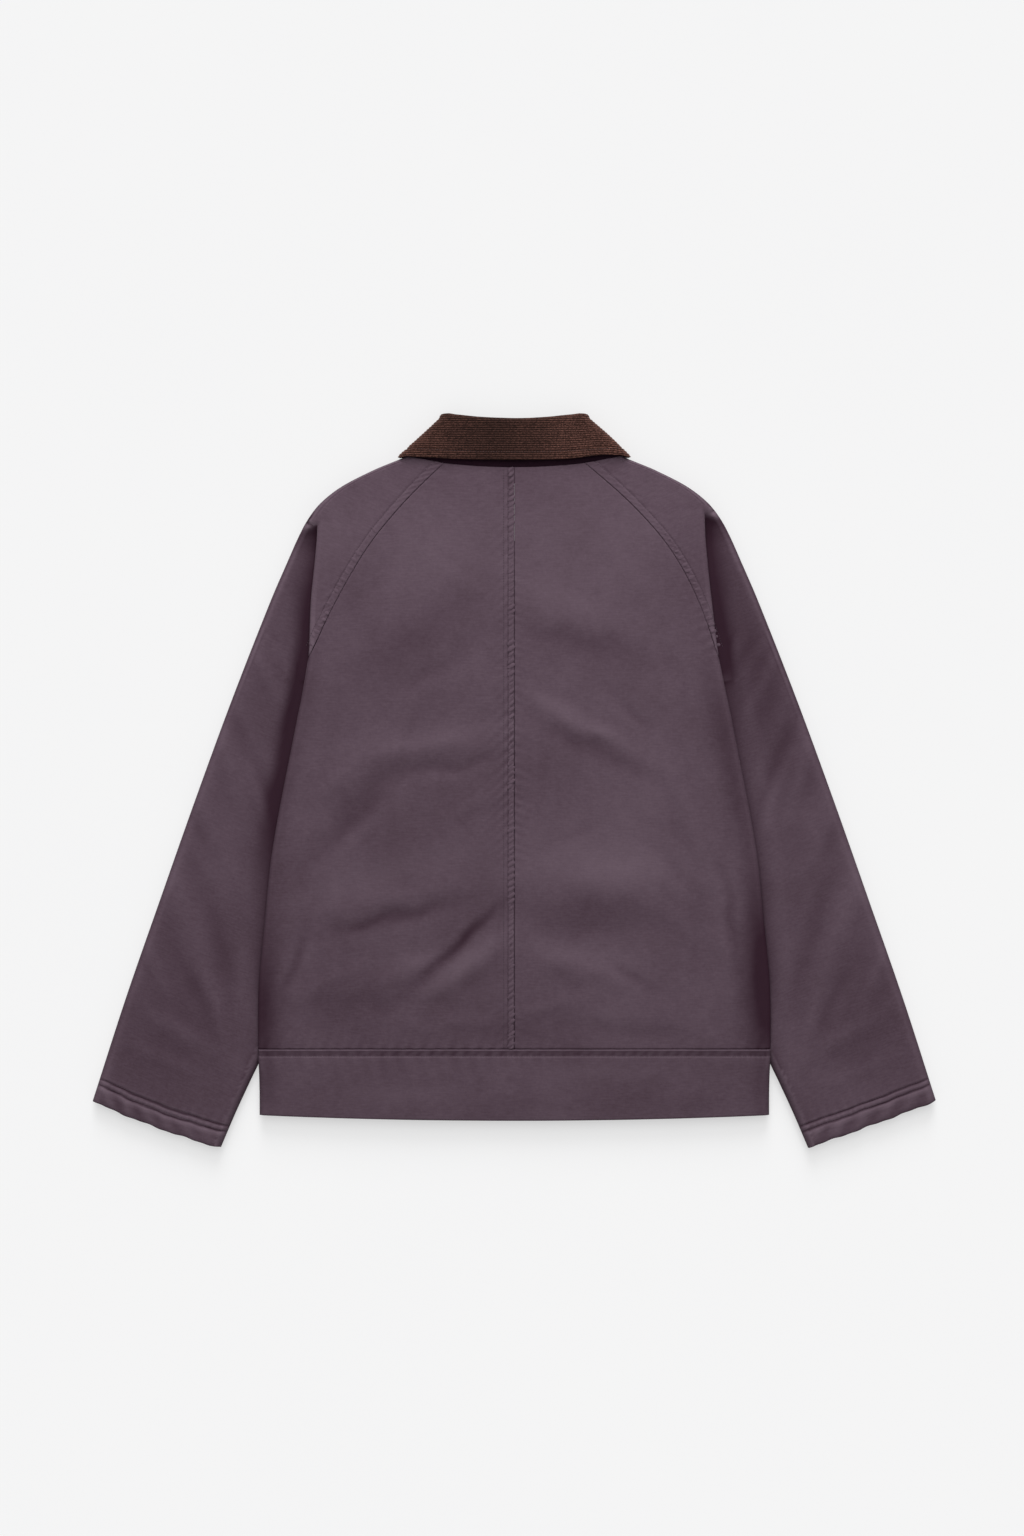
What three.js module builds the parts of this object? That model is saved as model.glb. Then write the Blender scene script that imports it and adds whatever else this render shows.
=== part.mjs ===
// A waxed cotton jacket with raglan sleeves, a corduroy collar and a stitched-on hem band.
// It is laid flat on its front, back up: the fronts and the undersides of the sleeves lie on the
// surface, the back lies over them, and each sleeve runs down and is tucked under the body's side.
//
// Millimetres. The origin is the middle of the jacket's outline, on the surface it lies on.
// +X is the wearer's right, +Y runs from the hem to the collar, +Z is up, out of the back.
//
// Every cut piece is one wall of cloth. Its outer face is a grid of points worked out from the
// rails below (edges and seams seen from above) and from heights, and its inner face is the same
// grid moved in along the cloth's normals.

import * as THREE from "three";

// Cloth
const CLOTH = 2; // waxed shell and lining, as one wall
const BAND_CLOTH = 2.6; // the hem band is doubled
const COLLAR_CLOTH = 3; // corduroy, interlining and undercollar
const SEAM_GAP = 0.3; // between two pieces that are sewn together
const HALF_GAP = SEAM_GAP / 2;

// Body, seen from above
const BAND_SEAM_Y = -281.4; // where the hem band is sewn on
const HEM_Y = { side: -349, middle: -356.5 }; // the hem's lower edge
const NECK_Y = { middle: 329.2, raglan: 333.6, side: 339 };
const NECK_SIDE_X = 117;
const FLY_OVERLAP = 28; // the left front lies this far past the middle
const FLY_CLEAR = 0.8; // between the two fronts where they lap
const FRONT_NECK_Y = 252; // the neck seam at the middle of the front

// The sleeve, seen from above
const CUFF = { innerX: 308.8, innerY: -385.4, outerX: 442.1, outerY: -335.9 };
const CUFF_HEM = 24; // depth of the turned and twice-stitched sleeve hem
const HEM_PROUD = 0.8; // the turned hem stands out this much
const ARMPIT = { x: 135, y: 80 };
const ARMPIT_OUTER_Y = 120; // the outline's point across the sleeve from the armpit
const UNDERARM_FOLD_Y = 130; // where the raglan seam goes over the body's side fold

// Heights
const ROLL = 8; // how far a soft side roll reaches in, at most
const SLEEVE_MID = 5.2; // height of the sleeve's two side seams
const SLEEVE_TOP = 10.4; // top of the sleeve where the body lies on it
const SLEEVE_PUFF = 2.2; // how much higher the sleeve swells where it is free
const FOLD_RADIUS = 4; // the soft fold over the sleeve head
const TUCK_RADIUS = 0.8; // the tight crease under it
const RAMP = { reach: 24, over: 4 }; // where the front climbs onto the sleeve

// The two sides of the jacket lie a little differently.
const LEFT = { name: "left", sign: -1, tipY: 275, foldShift: 3.4, raglanBow: -4.6 };
const RIGHT = { name: "right", sign: 1, tipY: 288, foldShift: -3.4, raglanBow: 4.6 };

// Rails: half widths (x) at distances up from the middle of the outline (y).
const OUTLINE = [
  { y: -335.9, x: 442.1 },
  { y: -230, x: 408 },
  { y: -125, x: 371.5 },
  { y: -20, x: 334.5 },
  { y: 85, x: 296 },
  { y: 190, x: 254.8 },
  { y: 230, x: 237.5 },
  { y: 258, x: 225 },
  { y: 276, x: 215.2 },
  { y: 293, x: 202 },
  { y: 310, x: 180.5 },
  { y: 326.6, x: 148.6 },
  { y: 335, x: 128.5 },
  { y: 339.5, x: NECK_SIDE_X },
];
const SIDE_FOLD = [
  { y: -357, x: 268 },
  { y: -315, x: 268 },
  { y: -281, x: 269 },
  { y: -214, x: 268.3 },
  { y: -151, x: 262.5 },
  { y: -72, x: 254 },
  { y: 64, x: 228.3 },
  { y: 101, x: 220.5 },
  { y: 132, x: 215.2 },
  { y: 186, x: 210.8 },
  { y: 230, x: 206.3 },
  { y: 258, x: 204 },
  { y: 290, x: 203.5 },
];
const RAGLAN_SEAM = [
  { y: UNDERARM_FOLD_Y, x: 215.5 },
  { y: 148, x: 207.6 },
  { y: 162, x: 202 },
  { y: 186, x: 191.2 },
  { y: 214, x: 177 },
  { y: 243, x: 159.4 },
  { y: 267, x: 141 },
  { y: 300, x: 110.4 },
  { y: 334, x: 73.5 },
];
// The inner edge of the sleeve. Above -289 it is hidden under the body.
const SLEEVE_INNER = [
  { y: CUFF.innerY, x: CUFF.innerX },
  { y: -335, x: 287.2 },
  { y: -289, x: 265.2 },
  { y: -193, x: 225 },
  { y: -72, x: 180 },
  { y: ARMPIT.y, x: ARMPIT.x },
];
const FRONT_RAGLAN = [
  { y: ARMPIT.y, x: ARMPIT.x },
  { y: 130, x: 124 },
  { y: 200, x: 115 },
  { y: 265, x: 102 },
  { y: 306, x: 90 },
];
// The front neck seam, from its side to the middle.
const FRONT_NECK = [
  { x: 8, y: FRONT_NECK_Y },
  { x: 75, y: 284 },
  { x: 90, y: 306 },
  { x: NECK_SIDE_X, y: NECK_Y.side },
];

// Heights of the back's outer face at its middle and beside its side roll, and of the face
// of the front under that roll.
const BACK_HEIGHT = [
  { y: -357, middle: 15, edge: 13.5, under: 0 },
  { y: -335, middle: 16, edge: 14.6, under: 1.5 },
  { y: -310, middle: 16.8, edge: 16.6, under: 6.5 },
  { y: -292, middle: 17.3, edge: 18, under: 10.2 },
  { y: -270, middle: 18.2, edge: 19.2, under: 11.4 },
  { y: -220, middle: 20, edge: 19.8, under: 12 },
  { y: 0, middle: 22, edge: 20, under: 12 },
  { y: 150, middle: 22, edge: 20, under: 12 },
  { y: 250, middle: 20.6, edge: 18.6, under: 10.6 },
  { y: 300, middle: 19, edge: 17, under: 9 },
  { y: 341, middle: 17.5, edge: 16, under: 8 },
];
// Height of the outline's seam, half way up the sleeve's and shoulder's side roll.
const OUTLINE_HEIGHT = [
  { y: -336, z: SLEEVE_MID },
  { y: 60, z: SLEEVE_MID + 0.4 },
  { y: 200, z: 6.6 },
  { y: 280, z: 7.6 },
  { y: 341, z: 8 },
];

// The largest soft folds of the back: a centre, the way it runs (degrees from +X), its half
// length and half width, and its depth, below zero for a trough.
const BACK_FOLDS = [
  { x: -145, y: 0, turn: 22, length: 85, width: 17, depth: 1.5 },
  { x: -120, y: -30, turn: 18, length: 80, width: 16, depth: -1.3 },
  { x: -75, y: 118, turn: 40, length: 75, width: 20, depth: -1.2 },
  { x: -190, y: -95, turn: 42, length: 70, width: 17, depth: -1.3 },
  { x: -62, y: -168, turn: 38, length: 62, width: 13, depth: 1.7 },
  { x: -78, y: -140, turn: 36, length: 66, width: 12, depth: -1.4 },
  { x: -135, y: -118, turn: 14, length: 62, width: 11, depth: -1.2 },
  { x: 62, y: 72, turn: -37, length: 66, width: 14, depth: 1.6 },
  { x: 52, y: 44, turn: -32, length: 78, width: 15, depth: -1.4 },
  { x: 55, y: 168, turn: -22, length: 60, width: 22, depth: 1 },
  { x: 85, y: -62, turn: -12, length: 75, width: 26, depth: 1.1 },
  { x: 70, y: -172, turn: 8, length: 62, width: 15, depth: 1.1 },
  { x: 118, y: -138, turn: -24, length: 80, width: 19, depth: -1.1 },
];
const SLEEVE_FOLDS = [
  { x: 352, y: -130, turn: 68, length: 95, width: 16, depth: 1.1 },
  { x: 315, y: -150, turn: 74, length: 105, width: 14, depth: -0.9 },
  { x: 352, y: -262, turn: 30, length: 48, width: 12, depth: 0.8 },
  { x: 285, y: 40, turn: 66, length: 80, width: 11, depth: -0.9 },
];

// The head of the sleeve, from the armpit (0) to the tip of its fold (1): how far the cloth
// turns over the fold, and the share of the full tuck that lies under it.
const SLEEVE_HEAD = [
  { along: 0, turn: 180, tuck: 1 },
  { along: 0.09, turn: 180, tuck: 0.9 },
  { along: 0.2, turn: 180, tuck: 0.78 },
  { along: 0.37, turn: 180, tuck: 0.57 },
  { along: 0.53, turn: 180, tuck: 0.36 },
  { along: 0.65, turn: 178, tuck: 0.22 },
  { along: 0.77, turn: 165, tuck: 0.1 },
  { along: 0.86, turn: 130, tuck: 0.05 },
  { along: 0.92, turn: 88, tuck: 0.045 },
  { along: 0.965, turn: 45, tuck: 0.045 },
  { along: 1, turn: 14, tuck: 0.045 },
];
const SHOULDER_STEPS = 5; // rows from the fold's tip to the neck
const TUBE_STEPS = [0.08, 0.17, 0.28, 0.39, 0.5, 0.61, 0.72, 0.82, 0.9];

// Collar
const CORDUROY_WALES = 20; // across the turned-down leaf
const WALE_HEIGHT = 0.5;
const COLLAR_ROLL = 4.6; // radius of the roll at the top of the neck
const COLLAR_TURN = 112; // how far the leaf turns over it
const SIDE_TURN = { leaf: 10, stand: 8, roll: 11, standTop: 5 }; // widths of the collar's folded sides

// The collar's lines: at the middle of the back, at the side, and on the front. `up` is the
// height of the outer face on the back, `down` on the front.
const STAND_SEAM = {
  back: { x: 0, y: 329.4 },
  side: { x: 117, y: 339.3 },
  front: [{ x: 90.2, y: 307.8 }, { x: 75.4, y: 285.4 }, { x: 8.2, y: 252.8 }],
  up: 17.4,
  down: 4,
};
const STAND_TOP = {
  back: { x: 0, y: 377.3 },
  side: { x: 70.3, y: 380.2 },
  front: [{ x: 49.9, y: 338 }, { x: 34.2, y: 297.1 }, { x: 15.2, y: 265.4 }],
  up: 15.9,
  down: 4,
};
const ROLL_LINE = {
  back: { x: 0, y: 376.4 },
  side: { x: 75.6, y: 380.8 },
  front: [{ x: 50, y: 338 }, { x: 34.5, y: 297 }, { x: 16, y: 265 }],
  up: 19.6,
  down: WALE_HEIGHT,
};
const LEAF_EDGE = {
  back: { x: 0, y: 336.6 },
  side: { x: 122.3, y: 340.9 },
  front: [{ x: 111, y: 290 }, { x: 91, y: 247 }, { x: 68, y: 207 }],
  up: 23.1,
  down: WALE_HEIGHT,
};
// The fronts are lifted over the turned-down collar that lies under them.
const COLLAR_LIFT = { from: { x: 100, y: 330 }, to: { x: 42, y: 240 }, reach: 42, fade: 26, height: 4 };

const COLOURS = {
  shell: new THREE.MeshStandardMaterial({ color: 0x5c4b55, roughness: 0.55, metalness: 0 }),
  corduroy: new THREE.MeshStandardMaterial({ color: 0x3e2b27, roughness: 0.95, metalness: 0 }),
  undercollar: new THREE.MeshStandardMaterial({ color: 0x3d2b36, roughness: 0.6, metalness: 0 }),
};

const { clamp, degToRad, lerp } = THREE.MathUtils;
const smooth = (t) => THREE.MathUtils.smoothstep(t, 0, 1);
const point = (x, y, z) => new THREE.Vector3(x, y, z);
const AXIS = { x: point(1, 0, 0), y: point(0, 1, 0), z: point(0, 0, 1) };

// A smooth value of one column of a table, through its rows, at a value of another column.
function through(table, at, column, by = "y") {
  const rows = table.length;
  let i = 0;
  while (i < rows - 2 && at > table[i + 1][by]) i += 1;
  const slope = (k) => {
    const before = table[Math.max(k - 1, 0)];
    const after = table[Math.min(k + 1, rows - 1)];
    return (after[column] - before[column]) / (after[by] - before[by]);
  };
  const [a, b] = [table[i], table[i + 1]];
  const span = b[by] - a[by];
  const t = clamp((at - a[by]) / span, 0, 1);
  const [t2, t3] = [t * t, t * t * t];
  return (
    (2 * t3 - 3 * t2 + 1) * a[column] +
    (t3 - 2 * t2 + t) * span * slope(i) +
    (3 * t2 - 2 * t3) * b[column] +
    (t3 - t2) * span * slope(i + 1)
  );
}

// The height that a table of soft folds adds at a point.
function foldsAt(folds, x, y) {
  let height = 0;
  for (const fold of folds) {
    const turn = degToRad(fold.turn);
    const [dx, dy] = [x - fold.x, y - fold.y];
    const along = (dx * Math.cos(turn) + dy * Math.sin(turn)) / fold.length;
    const across = (dy * Math.cos(turn) - dx * Math.sin(turn)) / fold.width;
    height += fold.depth * Math.exp(-along * along - across * across);
  }
  return height;
}

// How far in a side roll reaches, so that the wall's inner face still rounds the bend.
const rollReach = (radius, cloth) => Math.min(ROLL, (radius * radius) / (cloth + 0.8));

// Rails of one side, at a height up the jacket.
const upperShare = (y) => smooth((y - 95) / 110);
const foldX = (side, y) => through(SIDE_FOLD, y, "x") + side.foldShift * upperShare(y);
const outlineX = (y) => through(OUTLINE, y, "x");
const innerX = (y) => through(SLEEVE_INNER, y, "x");
function raglanX(side, y) {
  const share = clamp((y - UNDERARM_FOLD_Y) / (NECK_Y.raglan - UNDERARM_FOLD_Y), 0, 1);
  const meet = foldX(side, UNDERARM_FOLD_Y) - foldX({ foldShift: 0 }, UNDERARM_FOLD_Y);
  return through(RAGLAN_SEAM, y, "x") + meet * (1 - share) + side.raglanBow * Math.sin(Math.PI * share);
}

// The body's outer face. x is counted from the middle, positive on both sides.
function backEdge(y) {
  const edge = through(BACK_HEIGHT, y, "edge");
  const under = through(BACK_HEIGHT, y, "under");
  return { edge, under, mid: (edge + under) / 2, radius: (edge - under) / 2 };
}

function backCrown(side, x, y) {
  const out = clamp(x / foldX(side, Math.min(y, side.tipY)), 0, 1);
  const level = lerp(through(BACK_HEIGHT, y, "middle"), backEdge(y).edge, out ** 4);
  const calm = 1 - smooth((out - 0.86) / 0.14);
  return level + calm * foldsAt(BACK_FOLDS, side.sign * x, y);
}

function backZ(side, x, y, cloth = CLOTH) {
  const { mid, radius } = backEdge(y);
  const reach = rollReach(radius, cloth);
  const q = clamp((x - foldX(side, y) + reach) / reach, 0, 1);
  return mid + HALF_GAP + (backCrown(side, x, y) - mid - HALF_GAP) * Math.sqrt(1 - q * q);
}

// The shoulder's outer face, which rolls down at the outline.
function shoulderZ(side, x, y, outlineY) {
  const mid = through(OUTLINE_HEIGHT, outlineY, "z");
  const q = clamp((x - outlineX(outlineY) + ROLL) / ROLL, 0, 1);
  return mid + HALF_GAP + (backCrown(side, x, y) - mid - HALF_GAP) * Math.sqrt(1 - q * q);
}

// How far the fronts are lifted by the collar that lies under them.
function collarLift(across, y) {
  const x = Math.abs(across);
  const { from, to, reach, fade, height } = COLLAR_LIFT;
  const [dx, dy] = [to.x - from.x, to.y - from.y];
  const t = clamp(((x - from.x) * dx + (y - from.y) * dy) / (dx * dx + dy * dy), 0, 1);
  const away = Math.hypot(x - from.x - t * dx, y - from.y - t * dy);
  return height * (1 - smooth((away - reach) / fade));
}

// The front's outer face, which lies on the surface and climbs onto the sleeve.
function frontZ(side, x, y, foldY) {
  const nearArmpit = smooth((y - (ARMPIT.y - 70)) / 70);
  const start = innerX(y) - lerp(RAMP.reach, 9, nearArmpit);
  const end = innerX(y) + lerp(RAMP.over, 6, nearArmpit);
  const { under, mid, radius } = backEdge(foldY);
  const level = under * smooth((x - start) / (end - start));
  const reach = rollReach(radius, CLOTH);
  const q = clamp((x - foldX(side, foldY) + reach) / reach, 0, 1);
  return mid - HALF_GAP - (mid - HALF_GAP - level) * Math.sqrt(1 - q * q);
}

// The seam that runs under the side fold, from the armpit to the raglan seam on the back.
function underarmY(side, x) {
  const from = ARMPIT.x + ROLL;
  const to = foldX(side, UNDERARM_FOLD_Y) - rollReach(FOLD_RADIUS, CLOTH);
  return lerp(ARMPIT.y, UNDERARM_FOLD_Y, clamp((x - from) / (to - from), 0, 1));
}

// Above the armpit the front only rises towards the armpit itself.
function chestZ(x, y) {
  const rise = SLEEVE_MID * (1 - smooth((y - ARMPIT.y) / 45));
  const edge = through(FRONT_RAGLAN, y, "x");
  return rise * smooth((x - edge + 16) / 16) + collarLift(x, y);
}

// The edges of a grid of points at which another piece is sewn on. There the wall's rim keeps
// square to the axis given, so that the gap between the two pieces stays the same through it.
function sewn(rows, { first, last, start, end }) {
  const keep = (p, axis) => {
    if (axis) p.square = [...(p.square ?? []), axis];
  };
  rows[0].forEach((p) => keep(p, first));
  rows.at(-1).forEach((p) => keep(p, last));
  rows.forEach((row) => keep(row[0], start));
  rows.forEach((row) => keep(row.at(-1), end));
  return rows;
}


// The right front lies on the left one along the fly, and so is this much higher there.
function overFly(side, x, cloth) {
  return side === LEFT ? 0 : (cloth + FLY_CLEAR) * (1 - smooth((x - FLY_OVERLAP - 1) / 14));
}

// A closed wall of cloth. Each patch is a grid of points on the outer face; patches that share
// points are joined there. The inner face is the outer one moved in along the cloth's normals.
// A point's relief raises the outer face alone.
function wallOfCloth(patches, cloth) {
  const outer = [];
  const known = new Map();
  const triangles = [];
  const id = (p) => {
    const key = [p.x, p.y, p.z].map((v) => Math.round(v * 1000)).join();
    if (!known.has(key)) {
      known.set(key, outer.length);
      outer.push(Object.assign(p.clone(), { square: p.square, relief: p.relief }));
    }
    return known.get(key);
  };
  const addTriangle = (a, b, c) => {
    if (a !== b && b !== c && c !== a) triangles.push([a, b, c]);
  };
  for (const rows of patches) {
    for (let i = 0; i + 1 < rows.length; i += 1) {
      for (let j = 0; j + 1 < rows[i].length; j += 1) {
        const [a, b] = [id(rows[i][j]), id(rows[i][j + 1])];
        const [d, c] = [id(rows[i + 1][j]), id(rows[i + 1][j + 1])];
        addTriangle(a, b, c);
        addTriangle(a, c, d);
      }
    }
  }
  const normals = outer.map(() => point(0, 0, 0));
  for (const [a, b, c] of triangles) {
    const ab = outer[b].clone().sub(outer[a]);
    const ac = outer[c].clone().sub(outer[a]);
    const normal = ab.cross(ac).normalize();
    for (const k of [a, b, c]) normals[k].add(normal);
  }
  normals.forEach((normal, k) => {
    for (const axis of outer[k].square ?? []) normal.addScaledVector(axis, -normal.dot(axis));
    normal.normalize();
  });
  const inner = outer.map((p, k) => p.clone().addScaledVector(normals[k], -cloth));
  outer.forEach((p, k) => p.addScaledVector(normals[k], p.relief ?? 0));
  const shift = outer.length;
  const faces = [];
  const edges = new Map();
  for (const [a, b, c] of triangles) {
    faces.push([a, b, c], [a + shift, c + shift, b + shift]);
    for (const [from, to] of [[a, b], [b, c], [c, a]]) {
      if (!edges.delete(`${to},${from}`)) edges.set(`${from},${to}`, [from, to]);
    }
  }
  for (const [from, to] of edges.values()) {
    faces.push([to, from, from + shift], [to, from + shift, to + shift]);
  }
  const geometry = new THREE.BufferGeometry();
  const all = [...outer, ...inner];
  geometry.setAttribute("position", new THREE.Float32BufferAttribute(all.flatMap((p) => p.toArray()), 3));
  geometry.setIndex(faces.flat());
  return geometry;
}

// The same rows on the other side of the jacket, with their order turned so that they face out.
function onSide(side, patches) {
  const placed = (p) => Object.assign(point(side.sign * p.x, p.y, p.z), { square: p.square });
  return patches.map((rows) => {
    const moved = rows.map((row) => row.map(placed));
    return side.sign > 0 ? moved : moved.reverse();
  });
}

const facingDown = (patches) => patches.map((rows) => [...rows].reverse());

function piece(name, patches, cloth, material) {
  const mesh = new THREE.Mesh(wallOfCloth(patches, cloth), material);
  mesh.name = name;
  return mesh;
}

const steps = (from, to, count) =>
  Array.from({ length: count + 1 }, (_, k) => lerp(from, to, k / count));

// Places along a row that crowd towards the side roll at its end.
const TO_SIDE = [0, 0.16, 0.32, 0.48, 0.63, 0.76, 0.87, 0.94, 0.972, 0.987, 0.996, 1];

// Half of the back: from the middle seam to the side seam, and above the underarm to the
// raglan seam, which runs to the neck.
function backHalf(side) {
  const underarm = UNDERARM_FOLD_Y;
  const ys = [
    ...steps(BAND_SEAM_Y + HALF_GAP, underarm - 30, 9),
    underarm - 14,
    underarm,
    ...steps(underarm + 9, NECK_Y.raglan - HALF_GAP, 11),
  ];
  const rows = ys.map((y) => {
    const gap = lerp(1, HALF_GAP, smooth((y - underarm) / 50));
    const edge = y <= underarm ? foldX(side, y) : Math.min(raglanX(side, y) - gap, foldX(side, y));
    const droop = (NECK_Y.raglan - NECK_Y.middle) * smooth((y - 230) / (NECK_Y.raglan - 230));
    return TO_SIDE.map((share) => {
      const x = lerp(HALF_GAP, edge, share);
      const rowY = y - droop * (1 - share * share);
      return point(x, rowY, backZ(side, x, Math.min(rowY, y)));
    });
  });
  sewn(rows, { first: AXIS.y, last: AXIS.y, start: AXIS.x });
  sewn(rows.slice(0, ys.indexOf(underarm) + 1), { end: AXIS.z });
  return piece(`back_${side.name}`, onSide(side, [rows]), CLOTH, COLOURS.shell);
}

// The neck seam across one front, with the middle of a row of points at each of its corners.
const NECK_COLUMNS = [36.5, 45, 55, 65, 75, 80, 85, 90];
const frontNeckY = (x) => {
  const k = clamp(FRONT_NECK.findIndex((corner) => corner.x >= x), 1, FRONT_NECK.length - 1);
  const [a, b] = [FRONT_NECK[k - 1], FRONT_NECK[k]];
  return lerp(a.y, b.y, clamp((x - a.x) / (b.x - a.x), 0, 1));
};

// One front, from its edge at the fly to the side seam, and above the armpit to the front
// raglan seam and the neck. The left front laps over the right one, which lies on it.
function frontHalf(side) {
  const flyX = side === LEFT ? -FLY_OVERLAP : -FLY_OVERLAP + 3;
  const fly = steps(flyX, FLY_OVERLAP, 3);
  const place = (x, y, z) => point(x, y, z + overFly(side, x, CLOTH));
  const body = (y, bend) => {
    const foldY = y + bend * (UNDERARM_FOLD_Y - ARMPIT.y);
    const [inner, fold] = [innerX(y), foldX(side, foldY)];
    const reach = rollReach(backEdge(foldY).radius, CLOTH);
    const rollStart = fold - reach;
    const rampStart = Math.min(inner - RAMP.reach, rollStart - 14);
    const rampMid = Math.min(inner, rollStart - 6);
    const rampEnd = Math.min(inner + 9, rollStart - 2);
    const xs = [
      ...fly,
      ...steps(FLY_OVERLAP + 8, rampStart, 3),
      ...steps(rampStart, rampMid, 4).slice(1),
      ...steps(rampMid, rampEnd, 2).slice(1),
      ...steps(rampEnd, rollStart, 3).slice(1),
      ...[0.55, 0.86, 1].map((share) => rollStart + reach * share),
    ];
    return xs.map((x) => {
      const up = bend * (underarmY(side, x) - ARMPIT.y - 0.6 * smooth((x - ARMPIT.x - 4) / 4));
      return place(x, y + up, frontZ(side, x, y, foldY));
    });
  };
  const bodyRows = steps(BAND_SEAM_Y + HALF_GAP, ARMPIT.y, 11).map((y) =>
    body(y, smooth((y - (ARMPIT.y - 150)) / 150)),
  );
  sewn(bodyRows, { first: AXIS.y, end: AXIS.z });
  const topXs = [...fly, ...NECK_COLUMNS];
  const armpitRow = bodyRows.at(-1).slice(0, topXs.length);
  const chestRows = steps(0, 1, 8).slice(1).map((share) => {
    const edgeY = lerp(ARMPIT.y, FRONT_RAGLAN.at(-1).y, share);
    const bow = through(FRONT_RAGLAN, edgeY, "x") - lerp(ARMPIT.x, topXs.at(-1), share) - HALF_GAP;
    return armpitRow.map((p, i) => {
      const out = clamp((i - 3) / (topXs.length - 4), 0, 1);
      const x = lerp(p.x, topXs[i], share) + bow * out;
      const y = lerp(ARMPIT.y, frontNeckY(topXs[i]) - HALF_GAP, share);
      return place(x, y, chestZ(x, y));
    });
  });
  const patches = [bodyRows, [armpitRow, ...chestRows]];
  return piece(`front_${side.name}`, facingDown(onSide(side, patches)), CLOTH, COLOURS.shell);
}

// The plan of one row across the sleeve's tube, from its inner edge to its outline.
function tubeRow(share) {
  const innerY = lerp(ARMPIT.y, CUFF.innerY, share);
  const outerY = lerp(ARMPIT_OUTER_Y, CUFF.outerY, share);
  const inner = { x: innerX(innerY), y: innerY };
  const outer = { x: outlineX(outerY), y: outerY };
  const width = Math.hypot(outer.x - inner.x, outer.y - inner.y);
  return { inner, outer, width, outerMid: through(OUTLINE_HEIGHT, outerY, "z") };
}

// The height of the sleeve's upper side away from its rolls.
function sleeveCrown(side, x, y) {
  const free = smooth((x - foldX(side, clamp(y, -340, side.tipY)) + 6) / 30);
  const swell = SLEEVE_PUFF * free * smooth((250 - y) / 120);
  return SLEEVE_TOP + swell + free * foldsAt(SLEEVE_FOLDS, x, y);
}

// The sleeve hem is turned up inside, so it stands a little proud of the sleeve.
const hemProud = (share, length) => HEM_PROUD * smooth(((share - 1) * length + CUFF_HEM + 1) / 3);
const TUBE_LENGTH = Math.hypot(CUFF.innerX - ARMPIT.x, CUFF.innerY - ARMPIT.y);
const tubeShares = () => {
  const stitched = 1 - (CUFF_HEM + 2) / TUBE_LENGTH;
  return [0, ...TUBE_STEPS, stitched, stitched + 5 / TUBE_LENGTH, 1 - 9 / TUBE_LENGTH, 1];
};

const INNER_ROLL = [0, 0.14, 0.48, 1]; // shares of the roll, from its seam in
const OUTER_ROLL = [0, 0.5, 0.83, 0.96, 1]; // shares of the roll, out to its seam
const ACROSS = [0, 0.13, 0.3, 0.48, 0.66, 0.84, 1];

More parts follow.
